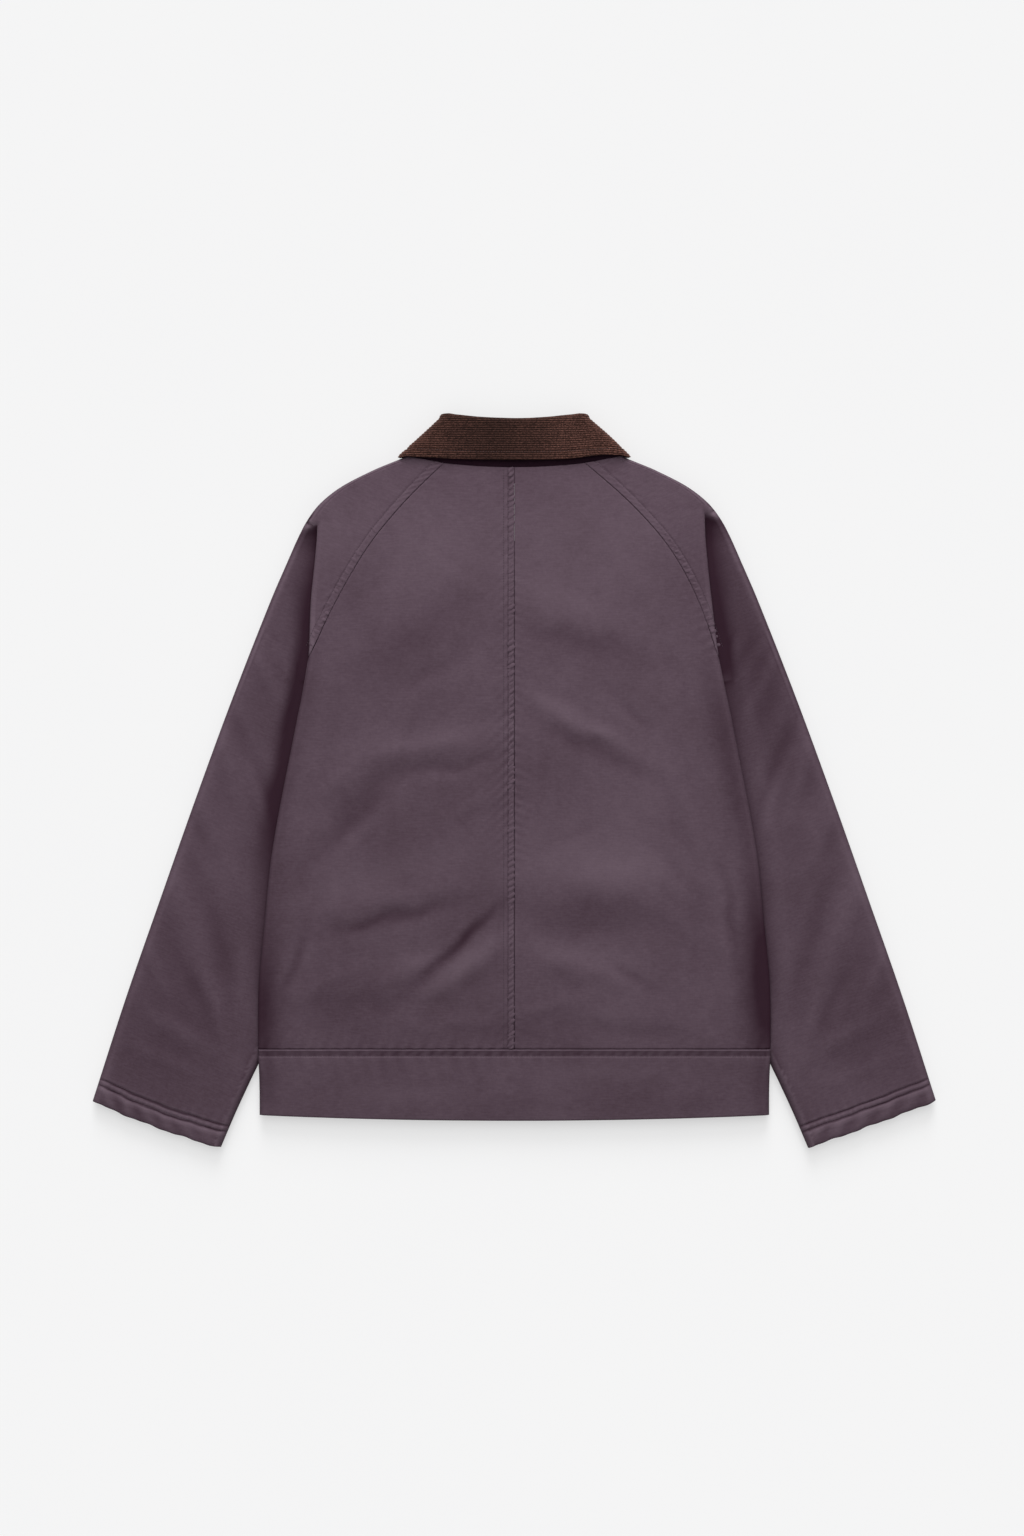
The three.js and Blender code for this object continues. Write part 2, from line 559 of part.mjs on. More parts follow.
// The upper side of one sleeve, from the raglan seam at the neck to the cuff. At the head the
// cloth turns over the fold, lies back under it, and comes out again as the sleeve's tube.
function sleeveBack(side) {
  const tubePoint = (row, along, mid, roll) => {
    const t = along / row.width;
    const x = lerp(row.inner.x, row.outer.x, t);
    const y = lerp(row.inner.y, row.outer.y, t);
    return point(x, y, mid + HALF_GAP + (sleeveCrown(side, x, y) - mid - HALF_GAP) * roll);
  };
  const tubeRows = [];
  const innerRows = [];
  for (const share of tubeShares()) {
    const row = tubeRow(share);
    const proud = hemProud(share, TUBE_LENGTH);
    const raise = (p) => p.setZ(p.z + proud * smooth((p.z - SLEEVE_MID) / 3));
    const inner = INNER_ROLL.map((s) =>
      raise(tubePoint(row, ROLL * s, SLEEVE_MID, Math.sqrt(1 - (1 - s) ** 2))),
    );
    const across = ACROSS.map((s) => raise(tubePoint(row, lerp(ROLL, row.width - ROLL, s), row.outerMid, 1)));
    const outer = OUTER_ROLL.slice(1).map((s) =>
      raise(tubePoint(row, row.width - ROLL * (1 - s), row.outerMid, Math.sqrt(1 - s * s))),
    );
    innerRows.push(inner);
    tubeRows.push([...across, ...outer]);
  }
  innerRows.forEach((row, i) => row.splice(-1, 1, tubeRows[i][0].clone()));

  const tuckTo = tubeRows[0][0]; // the crease's inner end, at the armpit
  const headRow = ({ along, turn, tuck }, y) => {
    const angle = degToRad(turn);
    const folded = smooth(turn / 50);
    const outerY = along <= 1 ? lerp(ARMPIT_OUTER_Y, side.tipY - 4, along) : y;
    const outer = { x: outlineX(outerY), y: outerY };
    const seam = raglanX(side, y) + HALF_GAP;
    const tip = foldX(side, side.tipY);
    const ridge = along <= 1 ? foldX(side, y) : lerp(seam, outer.x, lerp((tip - 130) / (outlineX(side.tipY) - 130), 0.5, along - 1));
    const reach = rollReach(FOLD_RADIUS, CLOTH) * folded;
    const start = Math.min(ridge, outer.x - 3) - reach;
    const top = shoulderZ(side, start, y, outerY);
    const length = Math.max(tuck * (foldX(side, UNDERARM_FOLD_Y) - reach - tuckTo.x), 3);
    const shiftY = tuck * (tuckTo.y - UNDERARM_FOLD_Y);

    // Round the fold, back under it, and round the crease.
    const first = seam > start ? Math.asin(clamp((seam - start) / reach, 0, 1)) : 0;
    const path = [];
    const rollSteps = 6;
    for (let k = 0; k <= rollSteps; k += 1) {
      const a = lerp(Math.min(first, angle), angle, k / rollSteps);
      path.push(point(start + reach * Math.sin(a), y, top - FOLD_RADIUS * (1 - Math.cos(a))));
    }
    const end = path.at(-1);
    const back = point(end.x + length * Math.cos(angle), y + shiftY, end.z - length * Math.sin(angle));
    path.push(end.clone().lerp(back, 0.5), back);
    const tuckSteps = 3;
    for (let k = 1; k <= tuckSteps; k += 1) {
      const a = lerp(angle, 0, k / tuckSteps);
      path.push(
        point(
          back.x + TUCK_RADIUS * (Math.sin(angle) - Math.sin(a)),
          back.y,
          back.z + TUCK_RADIUS * (Math.cos(angle) - Math.cos(a)),
        ),
      );
    }
    const from = along === 0 ? tuckTo : path.at(-1);
    path.splice(-1, 1, from.clone());
    // Out to the outline, as the top of the tube.
    const width = Math.hypot(outer.x - from.x, outer.y - from.y);
    const roll = Math.min(ROLL, 0.8 * width);
    const mid = through(OUTLINE_HEIGHT, outerY, "z");
    const tubePart = [...ACROSS.map((s) => s * (width - roll)), ...OUTER_ROLL.slice(1).map((s) => width - roll * (1 - s))];
    for (const d of tubePart.slice(1)) {
      const [x, rowY] = [lerp(from.x, outer.x, d / width), lerp(from.y, outer.y, d / width)];
      const level = lerp(from.z, Math.max(sleeveCrown(side, x, rowY), 2 * mid - 0.4), smooth(d / 60));
      const q = clamp((d - width + roll) / roll, 0, 1);
      path.push(point(x, rowY, mid + HALF_GAP + (level - mid - HALF_GAP) * Math.sqrt(1 - q * q)));
    }
    // Where the fold dies out, the same points lie spread over the plain shoulder.
    const flat = path.map((_, k) => {
      const x = lerp(start, outer.x, Math.sin(((Math.PI / 2) * k) / (path.length - 1)));
      return point(x, lerp(y, outerY, k / (path.length - 1)), shoulderZ(side, x, y, outerY));
    });
    const shown = path.map((p, k) => flat[k].clone().lerp(p, folded));
    const cap = steps(0, 1, 4).slice(0, -1).map((s) => {
      if (seam >= start) return shown[0].clone();
      const x = lerp(seam, start, s);
      return point(x, y, shoulderZ(side, x, y, outerY));
    });
    return [...cap, ...shown];
  };
  const foldRows = SLEEVE_HEAD.map((row) => headRow(row, lerp(UNDERARM_FOLD_Y, side.tipY, row.along)));
  const shoulderRows = steps(0, 1, SHOULDER_STEPS).slice(1).map((share) => {
    const y = lerp(side.tipY, NECK_Y.raglan - HALF_GAP, share);
    const row = headRow({ along: 1 + share, turn: 0, tuck: 0 }, y);
    const slope = (NECK_Y.side - NECK_Y.raglan) * share * share;
    const [first, last] = [row[0].x, row.at(-1).x];
    return row.map((p) => {
      const out = (p.x - first) / (last - first);
      return point(p.x, p.y + slope * out, p.z);
    });
  });
  const tubeStart = foldRows[0].length - tubeRows[0].length;
  foldRows[0].splice(tubeStart, tubeRows[0].length, ...tubeRows[0].map((p) => p.clone()));
  const patches = [
    sewn([...foldRows, ...shoulderRows], { end: AXIS.z }),
    sewn([...tubeRows].reverse(), { end: AXIS.z }),
    sewn([...innerRows].reverse(), { start: AXIS.z }),
  ];
  return piece(`sleeve_back_${side.name}`, onSide(side, patches), CLOTH, COLOURS.shell);
}

// The under side of one sleeve, which lies on the surface from the front raglan seam to the cuff.
function sleeveFront(side) {
  const across = [0, 0.16, 0.36, 0.58, 0.8, 1];
  const underPoint = (from, to, along, width, fromMid, toMid) => {
    const t = along / width;
    const [x, y] = [lerp(from.x, to.x, t), lerp(from.y, to.y, t)];
    const lift = collarLift(x, y);
    const fromRoll = clamp(1 - along / ROLL, 0, 1);
    const toRoll = clamp(1 - (width - along) / ROLL, 0, 1);
    const up = (mid, q) => (mid - HALF_GAP) * (1 - Math.sqrt(1 - q * q));
    return point(x, y, Math.max(lift, 0) + up(fromMid, fromRoll) + up(Math.max(toMid - lift, 1), toRoll));
  };
  const fullRow = (from, to, fromMid, toMid) => {
    const width = Math.hypot(to.x - from.x, to.y - from.y);
    const places = [
      ...INNER_ROLL.map((s) => ROLL * s),
      ...across.slice(1, -1).map((s) => lerp(ROLL, width - ROLL, s)),
      ...OUTER_ROLL.map((s) => width - ROLL * (1 - s)),
    ];
    return places.map((d) => underPoint(from, to, d, width, fromMid, toMid));
  };
  const rows = tubeShares().map((share) => {
    const row = tubeRow(share);
    return fullRow(row.inner, row.outer, SLEEVE_MID, row.outerMid);
  });
  const top = FRONT_RAGLAN.at(-1).y - HALF_GAP;
  const headRows = [0.09, 0.18, 0.3, 0.42, 0.54, 0.66, 0.77, 0.86, 0.93, 1].map((share) => {
    const seamY = lerp(ARMPIT.y, top, share);
    const outerY = lerp(ARMPIT_OUTER_Y, NECK_Y.side, share);
    const mid = SLEEVE_MID * (1 - smooth((seamY - ARMPIT.y) / 45)) + 0.2;
    const from = { x: through(FRONT_RAGLAN, seamY, "x") + HALF_GAP, y: seamY };
    const to = { x: outlineX(outerY), y: outerY };
    return fullRow(from, to, mid, through(OUTLINE_HEIGHT, outerY, "z"));
  });
  sewn(rows, { start: AXIS.z });
  const patches = [sewn([...rows.reverse(), ...headRows], { end: AXIS.z })];
  return piece(`sleeve_front_${side.name}`, facingDown(onSide(side, patches)), CLOTH, COLOURS.shell);
}

// The hem's lower edge: a little deeper in the middle.
const hemY = (out) => lerp(HEM_Y.middle, HEM_Y.side, out * out);

// Rows up the hem band. Each place across it is either a share of the way to the side fold,
// or a distance from the middle.
function bandRows(side, places, height) {
  return steps(0, 1, 5).map((share) =>
    places.map(({ out, across }) => {
      const fold = foldX(side, BAND_SEAM_Y);
      const y = lerp(hemY(out ?? across / fold), BAND_SEAM_Y - HALF_GAP, share);
      const x = across ?? foldX(side, y) - (1 - out) * fold;
      return point(x, y, height(x, y));
    }),
  );
}

function hemBandBack() {
  const proud = 0.6;
  const halfRows = (side) =>
    bandRows(side, TO_SIDE.map((out) => (out < 0.9 ? { across: out * foldX(side, BAND_SEAM_Y) } : { out })), (x, y) => {
      const z = backZ(side, x, y, BAND_CLOTH);
      return z + proud * smooth((z - backEdge(y).mid) / 3);
    });
  const [left, right] = [halfRows(LEFT), halfRows(RIGHT)];
  const rows = right.map((row, i) => [...left[i].slice(1).reverse().map((p) => point(-p.x, p.y, p.z)), ...row]);
  sewn(rows, { first: AXIS.y, last: AXIS.y, start: AXIS.z, end: AXIS.z });
  return piece("hem_band_back", [rows], BAND_CLOTH, COLOURS.shell);
}

function hemBandFront(side) {
  const flyX = side === LEFT ? -FLY_OVERLAP : -FLY_OVERLAP + 3;
  const fold = foldX(side, BAND_SEAM_Y);
  const places = [
    ...steps(flyX, FLY_OVERLAP, 3).map((across) => ({ across })),
    ...steps(FLY_OVERLAP + 8, fold - 44, 3).map((across) => ({ across })),
    ...[36, 27, 18, 12, ROLL, 0.48 * ROLL, 0.16 * ROLL, 0].map((inside) => ({ out: 1 - inside / fold })),
  ];
  const rows = bandRows(side, places, (x, y) => {
    const { under, mid, radius } = backEdge(y);
    const level = under * smooth((x - fold + 34) / 26);
    const reach = rollReach(radius, BAND_CLOTH);
    const q = clamp((x - foldX(side, y) + reach) / reach, 0, 1);
    const z = mid - HALF_GAP - (mid - HALF_GAP - level) * Math.sqrt(1 - q * q);
    return z + overFly(side, x, BAND_CLOTH);
  });
  sewn(rows, { first: AXIS.y, last: AXIS.y, end: AXIS.z });
  const name = `hem_band_front_${side.name}`;
  return piece(name, facingDown(onSide(side, [rows])), BAND_CLOTH, COLOURS.shell);
}

// The columns of the collar, from the middle of the back round the side to the front. Each has
// the directions out of its outer face (`up`) and away from the neck (`out`), and the share of
// the way it has gone along that part.
const COLLAR_COLUMNS = [
  ...steps(0, 1, 3).map((share) => ({ part: "back", share, up: AXIS.z, out: AXIS.y })),
  ...[40, 82, 130].map((turn) => {
    const a = degToRad(turn);
    return { part: "side", turn: a, up: point(Math.sin(a), 0, Math.cos(a)), out: AXIS.y };
  }),
  { part: "side", turn: Math.PI, up: point(0, 0, -1), out: point(-0.3, 0.95, 0) },
  ...[0, 1, 2].map((k) => ({ part: "front", k, up: point(0, 0, -1), out: point(-0.88, 0.47, 0) })),
];

// A line of the collar at one column, on its outer face.
function collarPoint(line, column, turnWidth) {
  const straight = line.side.x - turnWidth;
  if (column.part === "back") {
    const { share } = column;
    return point(straight * share, lerp(line.back.y, line.side.y, share ** 2), line.up);
  }
  if (column.part === "side") {
    const [mid, half] = [(line.up + line.down) / 2, (line.up - line.down) / 2];
    return point(straight + turnWidth * Math.sin(column.turn), line.side.y, mid + half * Math.cos(column.turn));
  }
  const { x, y } = line.front[column.k];
  return point(x, y, line.down);
}

// Both halves of a row, from the left front to the right one.
function mirroredRow(half) {
  const other = half.slice(1).reverse();
  return [...other.map((p) => Object.assign(point(-p.x, p.y, p.z), { relief: p.relief })), ...half];
}

// The middle of the roll at the top of the neck.
function rollMiddle(column) {
  return collarPoint(ROLL_LINE, column, SIDE_TURN.roll).addScaledVector(column.up, -COLLAR_ROLL);
}

// The corduroy leaf: it rounds the roll, and turns down over the stand to its edge. Its wales
// run along it.
function collar() {
  const rows = steps(COLLAR_TURN, 0, 4).slice(0, -1).map((turn) => {
    const a = degToRad(turn);
    return mirroredRow(
      COLLAR_COLUMNS.map((column) =>
        rollMiddle(column)
          .addScaledVector(column.out, COLLAR_ROLL * Math.sin(a))
          .addScaledVector(column.up, COLLAR_ROLL * Math.cos(a)),
      ),
    );
  });
  for (let k = 0; k <= 2 * CORDUROY_WALES; k += 1) {
    const half = COLLAR_COLUMNS.map((column) => {
      const roll = collarPoint(ROLL_LINE, column, SIDE_TURN.roll);
      const edge = collarPoint(LEAF_EDGE, column, SIDE_TURN.leaf);
      return Object.assign(roll.lerp(edge, k / (2 * CORDUROY_WALES)), { relief: k % 2 ? 0 : WALE_HEIGHT });
    });
    rows.push(mirroredRow(half));
  }
  return piece("collar", [rows.reverse()], COLLAR_CLOTH - WALE_HEIGHT, COLOURS.corduroy);
}

// The stand, of the shell's cloth, from the neck seam up inside the leaf.
function collarStand() {
  const rows = steps(0, 1, 4).map((share) =>
    mirroredRow(
      COLLAR_COLUMNS.map((column) => {
        const seam = collarPoint(STAND_SEAM, column, SIDE_TURN.stand);
        return seam.lerp(collarPoint(STAND_TOP, column, SIDE_TURN.standTop), share);
      }),
    ),
  );
  return piece("collar_stand", [rows], CLOTH, COLOURS.undercollar);
}

const jacket = new THREE.Group();
jacket.add(hemBandBack(), collar(), collarStand());
for (const side of [LEFT, RIGHT]) {
  jacket.add(backHalf(side), frontHalf(side), sleeveBack(side), sleeveFront(side), hemBandFront(side));
}

export default jacket;
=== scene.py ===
# %% [markdown]
# # A waxed cotton jacket, laid flat
#
# The real thing is a short jacket of plum waxed cotton with raglan sleeves, a brown corduroy
# collar and a stitched-on hem band. It lies on its front on a pale surface, so we look straight
# down on its back. Cloth could be simulated from flat cut pieces, but a simulation gives other
# folds each time its settings change. Here every panel is instead a fine grid of points, placed
# by the seams and edges that a maker would chalk on the cloth, and the folds are given one by one.
# The imported solids are the fixed frame, and each panel takes the place of its solid.

# %% The frame and the units
import math

import bmesh
import bpy
import numpy as np
from mathutils import Matrix, Vector, noise
from mathutils.bvhtree import BVHTree


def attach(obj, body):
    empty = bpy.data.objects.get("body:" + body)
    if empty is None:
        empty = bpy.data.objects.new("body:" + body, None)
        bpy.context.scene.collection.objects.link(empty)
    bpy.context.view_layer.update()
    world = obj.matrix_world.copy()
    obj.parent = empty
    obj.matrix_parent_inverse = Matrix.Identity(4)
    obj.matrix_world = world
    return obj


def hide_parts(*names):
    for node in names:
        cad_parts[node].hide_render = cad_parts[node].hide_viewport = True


MM = 0.001
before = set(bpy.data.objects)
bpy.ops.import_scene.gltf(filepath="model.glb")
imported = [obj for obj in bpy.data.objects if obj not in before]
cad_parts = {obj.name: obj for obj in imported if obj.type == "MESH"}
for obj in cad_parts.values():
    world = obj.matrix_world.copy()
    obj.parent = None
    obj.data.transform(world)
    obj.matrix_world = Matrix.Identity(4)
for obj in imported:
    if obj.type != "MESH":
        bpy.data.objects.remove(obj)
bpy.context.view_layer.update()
print("solids:", ", ".join(sorted(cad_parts)))

# %% [markdown]
# ## The camera
#
# The jacket is seen from straight above. A long lens keeps the sleeves, which lie lower than the
# back, at nearly the same scale as the back. The picture's height stands for 1.613 m of surface,
# and the camera's height follows from that and the lens.

# %% Camera
PICTURE_HEIGHT = 1.6128
PICTURE_MIDDLE = (-0.0025, 0.01365)
LENS = 85.0
SENSOR = 36.0
EYE_LEVEL = 0.014  # the height in the jacket at which the scale is right

camera_data = bpy.data.cameras.new("camera")
camera_data.lens = LENS
camera_data.sensor_width = SENSOR
camera = bpy.data.objects.new("camera", camera_data)
camera_height = EYE_LEVEL + PICTURE_HEIGHT * LENS / SENSOR
camera.location = (*PICTURE_MIDDLE, camera_height)
bpy.context.collection.objects.link(camera)
bpy.context.scene.camera = camera
bpy.context.scene.view_settings.view_transform = "Standard"
print("camera height:", round(camera_height, 3), "m")

# %% [markdown]
# ## The pattern pieces' edges
#
# A tailor draws a jacket as a few curves: side seams, raglan seams, necklines. We do the same.
# Each table holds half widths (x) at distances up from the middle of the jacket (y), in
# millimetres, and a smooth curve runs through its rows. Both sides use the same tables, with a
# small shift for each side, because no real jacket lies quite evenly.

# %% Sizes, in millimetres
CLOTH = 1.6
HALF_GAP = 0.06  # half of the gap between two panels at their seam
OUTLINE_EASE = 1.4  # how much fuller the soft cloth lies than its solid
BAND_SEAM_Y = -281.4
HEM_Y = {"side": -351.0, "middle": -356.8}
NECK_Y = {"middle": 329.2, "raglan": 333.6, "side": 342.0}
NECK_SIDE_X = 117.0
CUFF = {"inner_x": 308.8, "inner_y": -385.4, "outer_x": 442.1, "outer_y": -335.9}
CUFF_ROWS = (17.8, 24.4)
MIDDLE_ROW = 6.6  # how far the topstitching is from each seam
RAGLAN_ROW = 8.0
BAND_ROW = 7.4
ARMPIT = {"x": 135.0, "y": 80.0}
ARMPIT_OUTER_Y = 120.0
UNDERARM_FOLD_Y = 130.0
ROLL = 8.0
SLEEVE_MID = 5.2
SLEEVE_TOP = 10.4
SLEEVE_PUFF = 2.2
FOLD_RADIUS = 4.0
TUCK_RADIUS = 0.8

LEFT = {"name": "left", "sign": -1, "tip_y": 275.0, "shift": 3.4, "bow": -4.6, "cuff_bow": 3.2,
        "gully_end": 10.0}
RIGHT = {"name": "right", "sign": 1, "tip_y": 288.0, "shift": -3.4, "bow": 4.6, "cuff_bow": 0.8,
         "gully_end": 88.0}
SIDES = (LEFT, RIGHT)


# %% Tables and smooth curves through them
def table(columns, rows):
    return {name: np.array([row[i] for row in rows], float) for i, name in enumerate(columns.split())}


def through(rows, at, column, by="y"):
    knots, values = rows[by], rows[column]
    ahead = np.minimum(np.arange(len(knots)) + 1, len(knots) - 1)
    behind = np.maximum(np.arange(len(knots)) - 1, 0)
    slopes = (values[ahead] - values[behind]) / (knots[ahead] - knots[behind])
    i = np.clip(np.searchsorted(knots, at) - 1, 0, len(knots) - 2)
    span = knots[i + 1] - knots[i]
    t = np.clip((at - knots[i]) / span, 0, 1)
    start = (2 * t**3 - 3 * t**2 + 1) * values[i] + (t**3 - 2 * t**2 + t) * span * slopes[i]
    end = (3 * t**2 - 2 * t**3) * values[i + 1] + (t**3 - t**2) * span * slopes[i + 1]
    return start + end


def smooth(t):
    t = np.clip(t, 0, 1)
    return t * t * (3 - 2 * t)


def lerp(a, b, t):
    return a + (b - a) * t


OUTLINE = table("y x", [
    (-335.9, 442.1), (-230, 408), (-125, 371.5), (-20, 334.5), (85, 296), (190, 254.8), (230, 237.5),
    (258, 225), (276, 215.2), (293, 202), (310, 180.5), (326.6, 148.6), (335, 128.5), (339.5, NECK_SIDE_X),
])
SIDE_FOLD = table("y x", [
    (-357, 268), (-315, 268), (-281, 269), (-214, 268.3), (-151, 262.5), (-72, 254), (64, 228.3),
    (101, 220.5), (132, 215.2), (186, 210.8), (230, 206.3), (258, 204), (290, 203.5),
])
RAGLAN_SEAM = table("y x", [
    (UNDERARM_FOLD_Y, 215.5), (148, 207.6), (162, 202), (186, 191.2), (214, 177), (243, 159.4),
    (267, 141), (300, 110.4), (334, 73.5),
])
SLEEVE_INNER = table("y x", [
    (CUFF["inner_y"], CUFF["inner_x"]), (-335, 287.2), (-289, 265.2), (-193, 225), (-72, 180),
    (ARMPIT["y"], ARMPIT["x"]),
])
BACK_HEIGHT = table("y middle edge under", [
    (-357, 15, 13.5, 0), (-335, 16, 14.6, 1.5), (-310, 16.8, 16.6, 6.5), (-292, 17.3, 18, 10.2),
    (-270, 18.2, 19.2, 11.4), (-220, 20, 19.8, 12), (0, 22, 20, 12), (150, 22, 20, 12),
    (250, 20.6, 18.6, 10.6), (300, 19, 17, 9), (341, 17.5, 16, 8),
])
OUTLINE_HEIGHT = table("y z", [
    (-336, SLEEVE_MID), (60, SLEEVE_MID + 0.4), (200, 6.6), (280, 7.6), (341, 8),
])
print("tables:", len(OUTLINE["y"]) + len(SIDE_FOLD["y"]) + len(RAGLAN_SEAM["y"]), "rows of edges")


# %% The edges of one side
def fold_x(side, y):
    return through(SIDE_FOLD, y, "x") + side["shift"] * smooth((y - 95) / 110)


def outline_x(y):
    return through(OUTLINE, y, "x") + OUTLINE_EASE * smooth((330 - y) / 60)


def inner_x(y):
    return through(SLEEVE_INNER, y, "x")


def raglan_x(side, y):
    share = np.clip((y - UNDERARM_FOLD_Y) / (NECK_Y["raglan"] - UNDERARM_FOLD_Y), 0, 1)
    meet = side["shift"] * smooth((UNDERARM_FOLD_Y - 95) / 110)
    return through(RAGLAN_SEAM, y, "x") + meet * (1 - share) + side["bow"] * np.sin(math.pi * share)


def roll_reach(radius, cloth=2.0):
    return np.minimum(ROLL, radius * radius / (cloth + 0.8))


# %% [markdown]
# ## Folds and puckers
#
# Waxed cotton is stiff. It keeps a few broad, shallow folds from how it was laid down, sharper
# creases where it was folded before, and a row of small puckers wherever a seam was stitched.
# Noise alone would look like crumpled paper, so the broad folds and the creases are rows in a
# table: where each one is, which way it runs, how long and wide it is, and how deep. The puckers
# follow the seams, and only a little noise goes on top.

# %% Folds as tables
FOLD_COLUMNS = "x y turn length width depth"
BACK_FOLDS = table(FOLD_COLUMNS, [
    (-88, 36, 8, 70, 13, 1.7), (-183, 2, 27, 50, 16, 1.4), (-78, 13, 10, 60, 9, -1.3),
    (-172, -41, 45, 65, 14, -1.6), (-130, -122, 10, 75, 14, 1.7), (-128, -143, 13, 60, 8, -1.1),
    (-110, -198, 15, 45, 12, 1.2), (-56, -171, 43, 50, 7.5, -1.4), (-50, -197, 36, 50, 12, 2.0),
    (-141, -236, 2, 80, 11, -1.0), (-99, 110, 36, 85, 18, -1.3), (-60, 150, 34, 60, 16, 1.0),
    (71, 56, -28, 62, 12, 1.4), (86, 32, -26, 58, 10, -1.0), (90, -109, 0, 85, 26, 2.0),
    (95, -160, -4, 70, 16, -0.9), (69, -196, -10, 50, 14, 1.5), (124, -204, -30, 38, 9, -1.1),
    (148, -250, -10, 70, 18, 1.0), (55, 172, -22, 60, 22, 1.3), (76, 146, -12, 54, 14, -1.0),
])
BACK_CREASES = table(FOLD_COLUMNS, [
    (-35, -20, 30, 30, 8, 0.7), (-205, 10, 74, 60, 11, -0.7), (-150, 205, 50, 46, 12, -0.6),
    (-60, 215, -30, 44, 12, 0.5), (-120, 84, 20, 60, 13, 0.7), (-228, -190, 76, 46, 8, -0.9),
    (-80, -258, 4, 60, 9, 0.6), (-30, 92, 40, 40, 10, 0.5), (-200, -210, 30, 40, 9, 0.6),
    (40, 232, 30, 40, 12, -0.5), (126, 214, -52, 46, 12, 0.6), (168, 120, -70, 50, 11, -0.7),
    (120, 78, -40, 40, 8, -0.7), (186, -40, -66, 60, 12, 0.8), (226, -130, -82, 60, 8, -1.0),
    (52, -60, 22, 44, 10, -0.6), (180, -150, -30, 50, 12, 0.7), (36, -236, 16, 44, 8, 0.6),
    (110, -262, -4, 60, 9, -0.6), (168, -90, -50, 44, 9, -0.6),
])
SLEEVE_FOLDS = table(FOLD_COLUMNS, [
    (352, -130, 68, 95, 16, 1.6), (315, -150, 74, 105, 14, -1.4), (352, -262, 30, 48, 12, 1.2),
    (285, 40, 66, 80, 11, -1.2),
])
SLEEVE_CREASES = table(FOLD_COLUMNS, [
    (262, 112, 62, 44, 9, 0.8), (248, 150, 58, 40, 8, -0.7), (300, 16, 70, 60, 10, 0.8),
    (330, -60, 62, 56, 10, -0.7), (386, -180, 66, 60, 9, 0.7), (336, -222, 60, 46, 9, -0.6),
    (312, -250, 74, 44, 9, 0.6), (370, -296, 24, 40, 8, 0.5), (272, -10, 70, 56, 9, 0.7),
])
GULLY_DEPTH = 3.4
GULLY_SHADE_REACH = 17.0  # how far from the fold at the shoulder the painted shade on the sleeve reaches


def folds_at(folds, x, y):
    height = np.zeros(np.broadcast(x, y).shape)
    for fx, fy, turn, length, width, depth in zip(*(folds[name] for name in FOLD_COLUMNS.split())):
        dx, dy = x - fx, y - fy
        c, s = math.cos(math.radians(turn)), math.sin(math.radians(turn))
        along, across = (dx * c + dy * s) / length, (dy * c - dx * s) / width
        height = height + depth * np.exp(-along * along - across * across)
    return height


# %% Painted shade and highlight, with a little uneven tone
# Painted shade (below zero) in the troughs of the folds and at the rolled sides, and painted highlight (above
# zero) on their ridges.
BACK_SHADE_AND_HIGHLIGHT = table(FOLD_COLUMNS, [
    (-250, 20, 80, 150, 20, -0.34), (-267, -240, 90, 110, 19, -0.46), (266, -215, 93, 108, 25, -0.66),
    (226, 20, -78, 110, 15, -0.26), (-190, -238, 0, 70, 34, -0.12), (-130, -145, 13, 60, 8, -0.2),
    (-172, -36, 45, 70, 17, -0.14), (-57, -168, 43, 54, 7, -0.26), (-50, -190, 36, 46, 10, 0.2),
    (92, 30, -26, 66, 14, -0.12), (66, 66, -28, 60, 9, 0.14), (95, -136, 0, 80, 22, -0.14),
    (90, -86, 0, 90, 26, 0.16), (70, -182, -10, 46, 12, 0.16), (-110, 146, 36, 90, 20, -0.1),
    (76, 142, -12, 60, 16, -0.12), (62, 184, -20, 70, 22, 0.1), (-96, 46, 8, 80, 14, 0.12),
    (-140, -100, 16, 90, 20, 0.12), (-105, -185, 15, 50, 11, 0.1), (-60, 240, 0, 90, 60, 0.1),
    (80, 250, 0, 90, 60, 0.1), (0, -262, 0, 60, 16, -0.1), (120, -20, 90, 220, 80, 0.05),
])


# Painted shade (below zero) and painted highlight (above zero) on the sleeves, where they lie less or more in
# the light.
SLEEVE_SHADE_AND_HIGHLIGHT = table(FOLD_COLUMNS, [
    (-350, -225, 68, 150, 70, -0.17), (352, -225, -68, 150, 70, -0.11), (268, 90, -68, 120, 50, -0.16),
    (-290, 20, 68, 90, 40, -0.04), (-318, -120, 70, 80, 30, 0.06), (330, -90, -68, 80, 26, 0.05),
    (-196, 262, 40, 60, 40, 0.12), (180, 300, -30, 40, 26, 0.06),
    (-254, -22, 79, 72, 15, -0.42), (257, 84, -75, 95, 26, -0.085),
])


def tone_and_shade_at(folds, x, y):
    return folds_at(folds, x, y) + 0.035 * rough(x, y, 60, 21.5)


# %% Noise and seam puckers
def rough(x, y, size, seed):
    """Smooth noise, from -1 to 1, whose lumps are about `size` millimetres wide."""
    x, y = np.broadcast_arrays(x, y)
    flat = [noise.noise((a / size, b / size, seed)) for a, b in zip(x.ravel(), y.ravel())]
    return np.array(flat).reshape(x.shape)


def unruly(x, y):
    """Places moved a little, so that no fold is quite straight or even."""
    return x + 8 * rough(x, y, 36, 14.2), y + 6 * rough(x, y, 30, 17.9)


def waver(along, pitch, seed):
    """An uneven ripple along a seam, with stretches where it dies away."""
    drift = 1.6 * np.sin(along / (pitch * 2.7) + seed) + 1.3 * np.sin(along / (pitch * 5.3) + 2.1 * seed)
    swell = 0.5 + 0.3 * np.sin(along / (pitch * 3.9) + 1.7 * seed)
    swell = swell + 0.35 * np.sin(along / (pitch * 7.3) + 0.6 * seed)
    return np.clip(swell, 0.05, 1.2) * np.sin(2 * math.pi * along / pitch + drift)


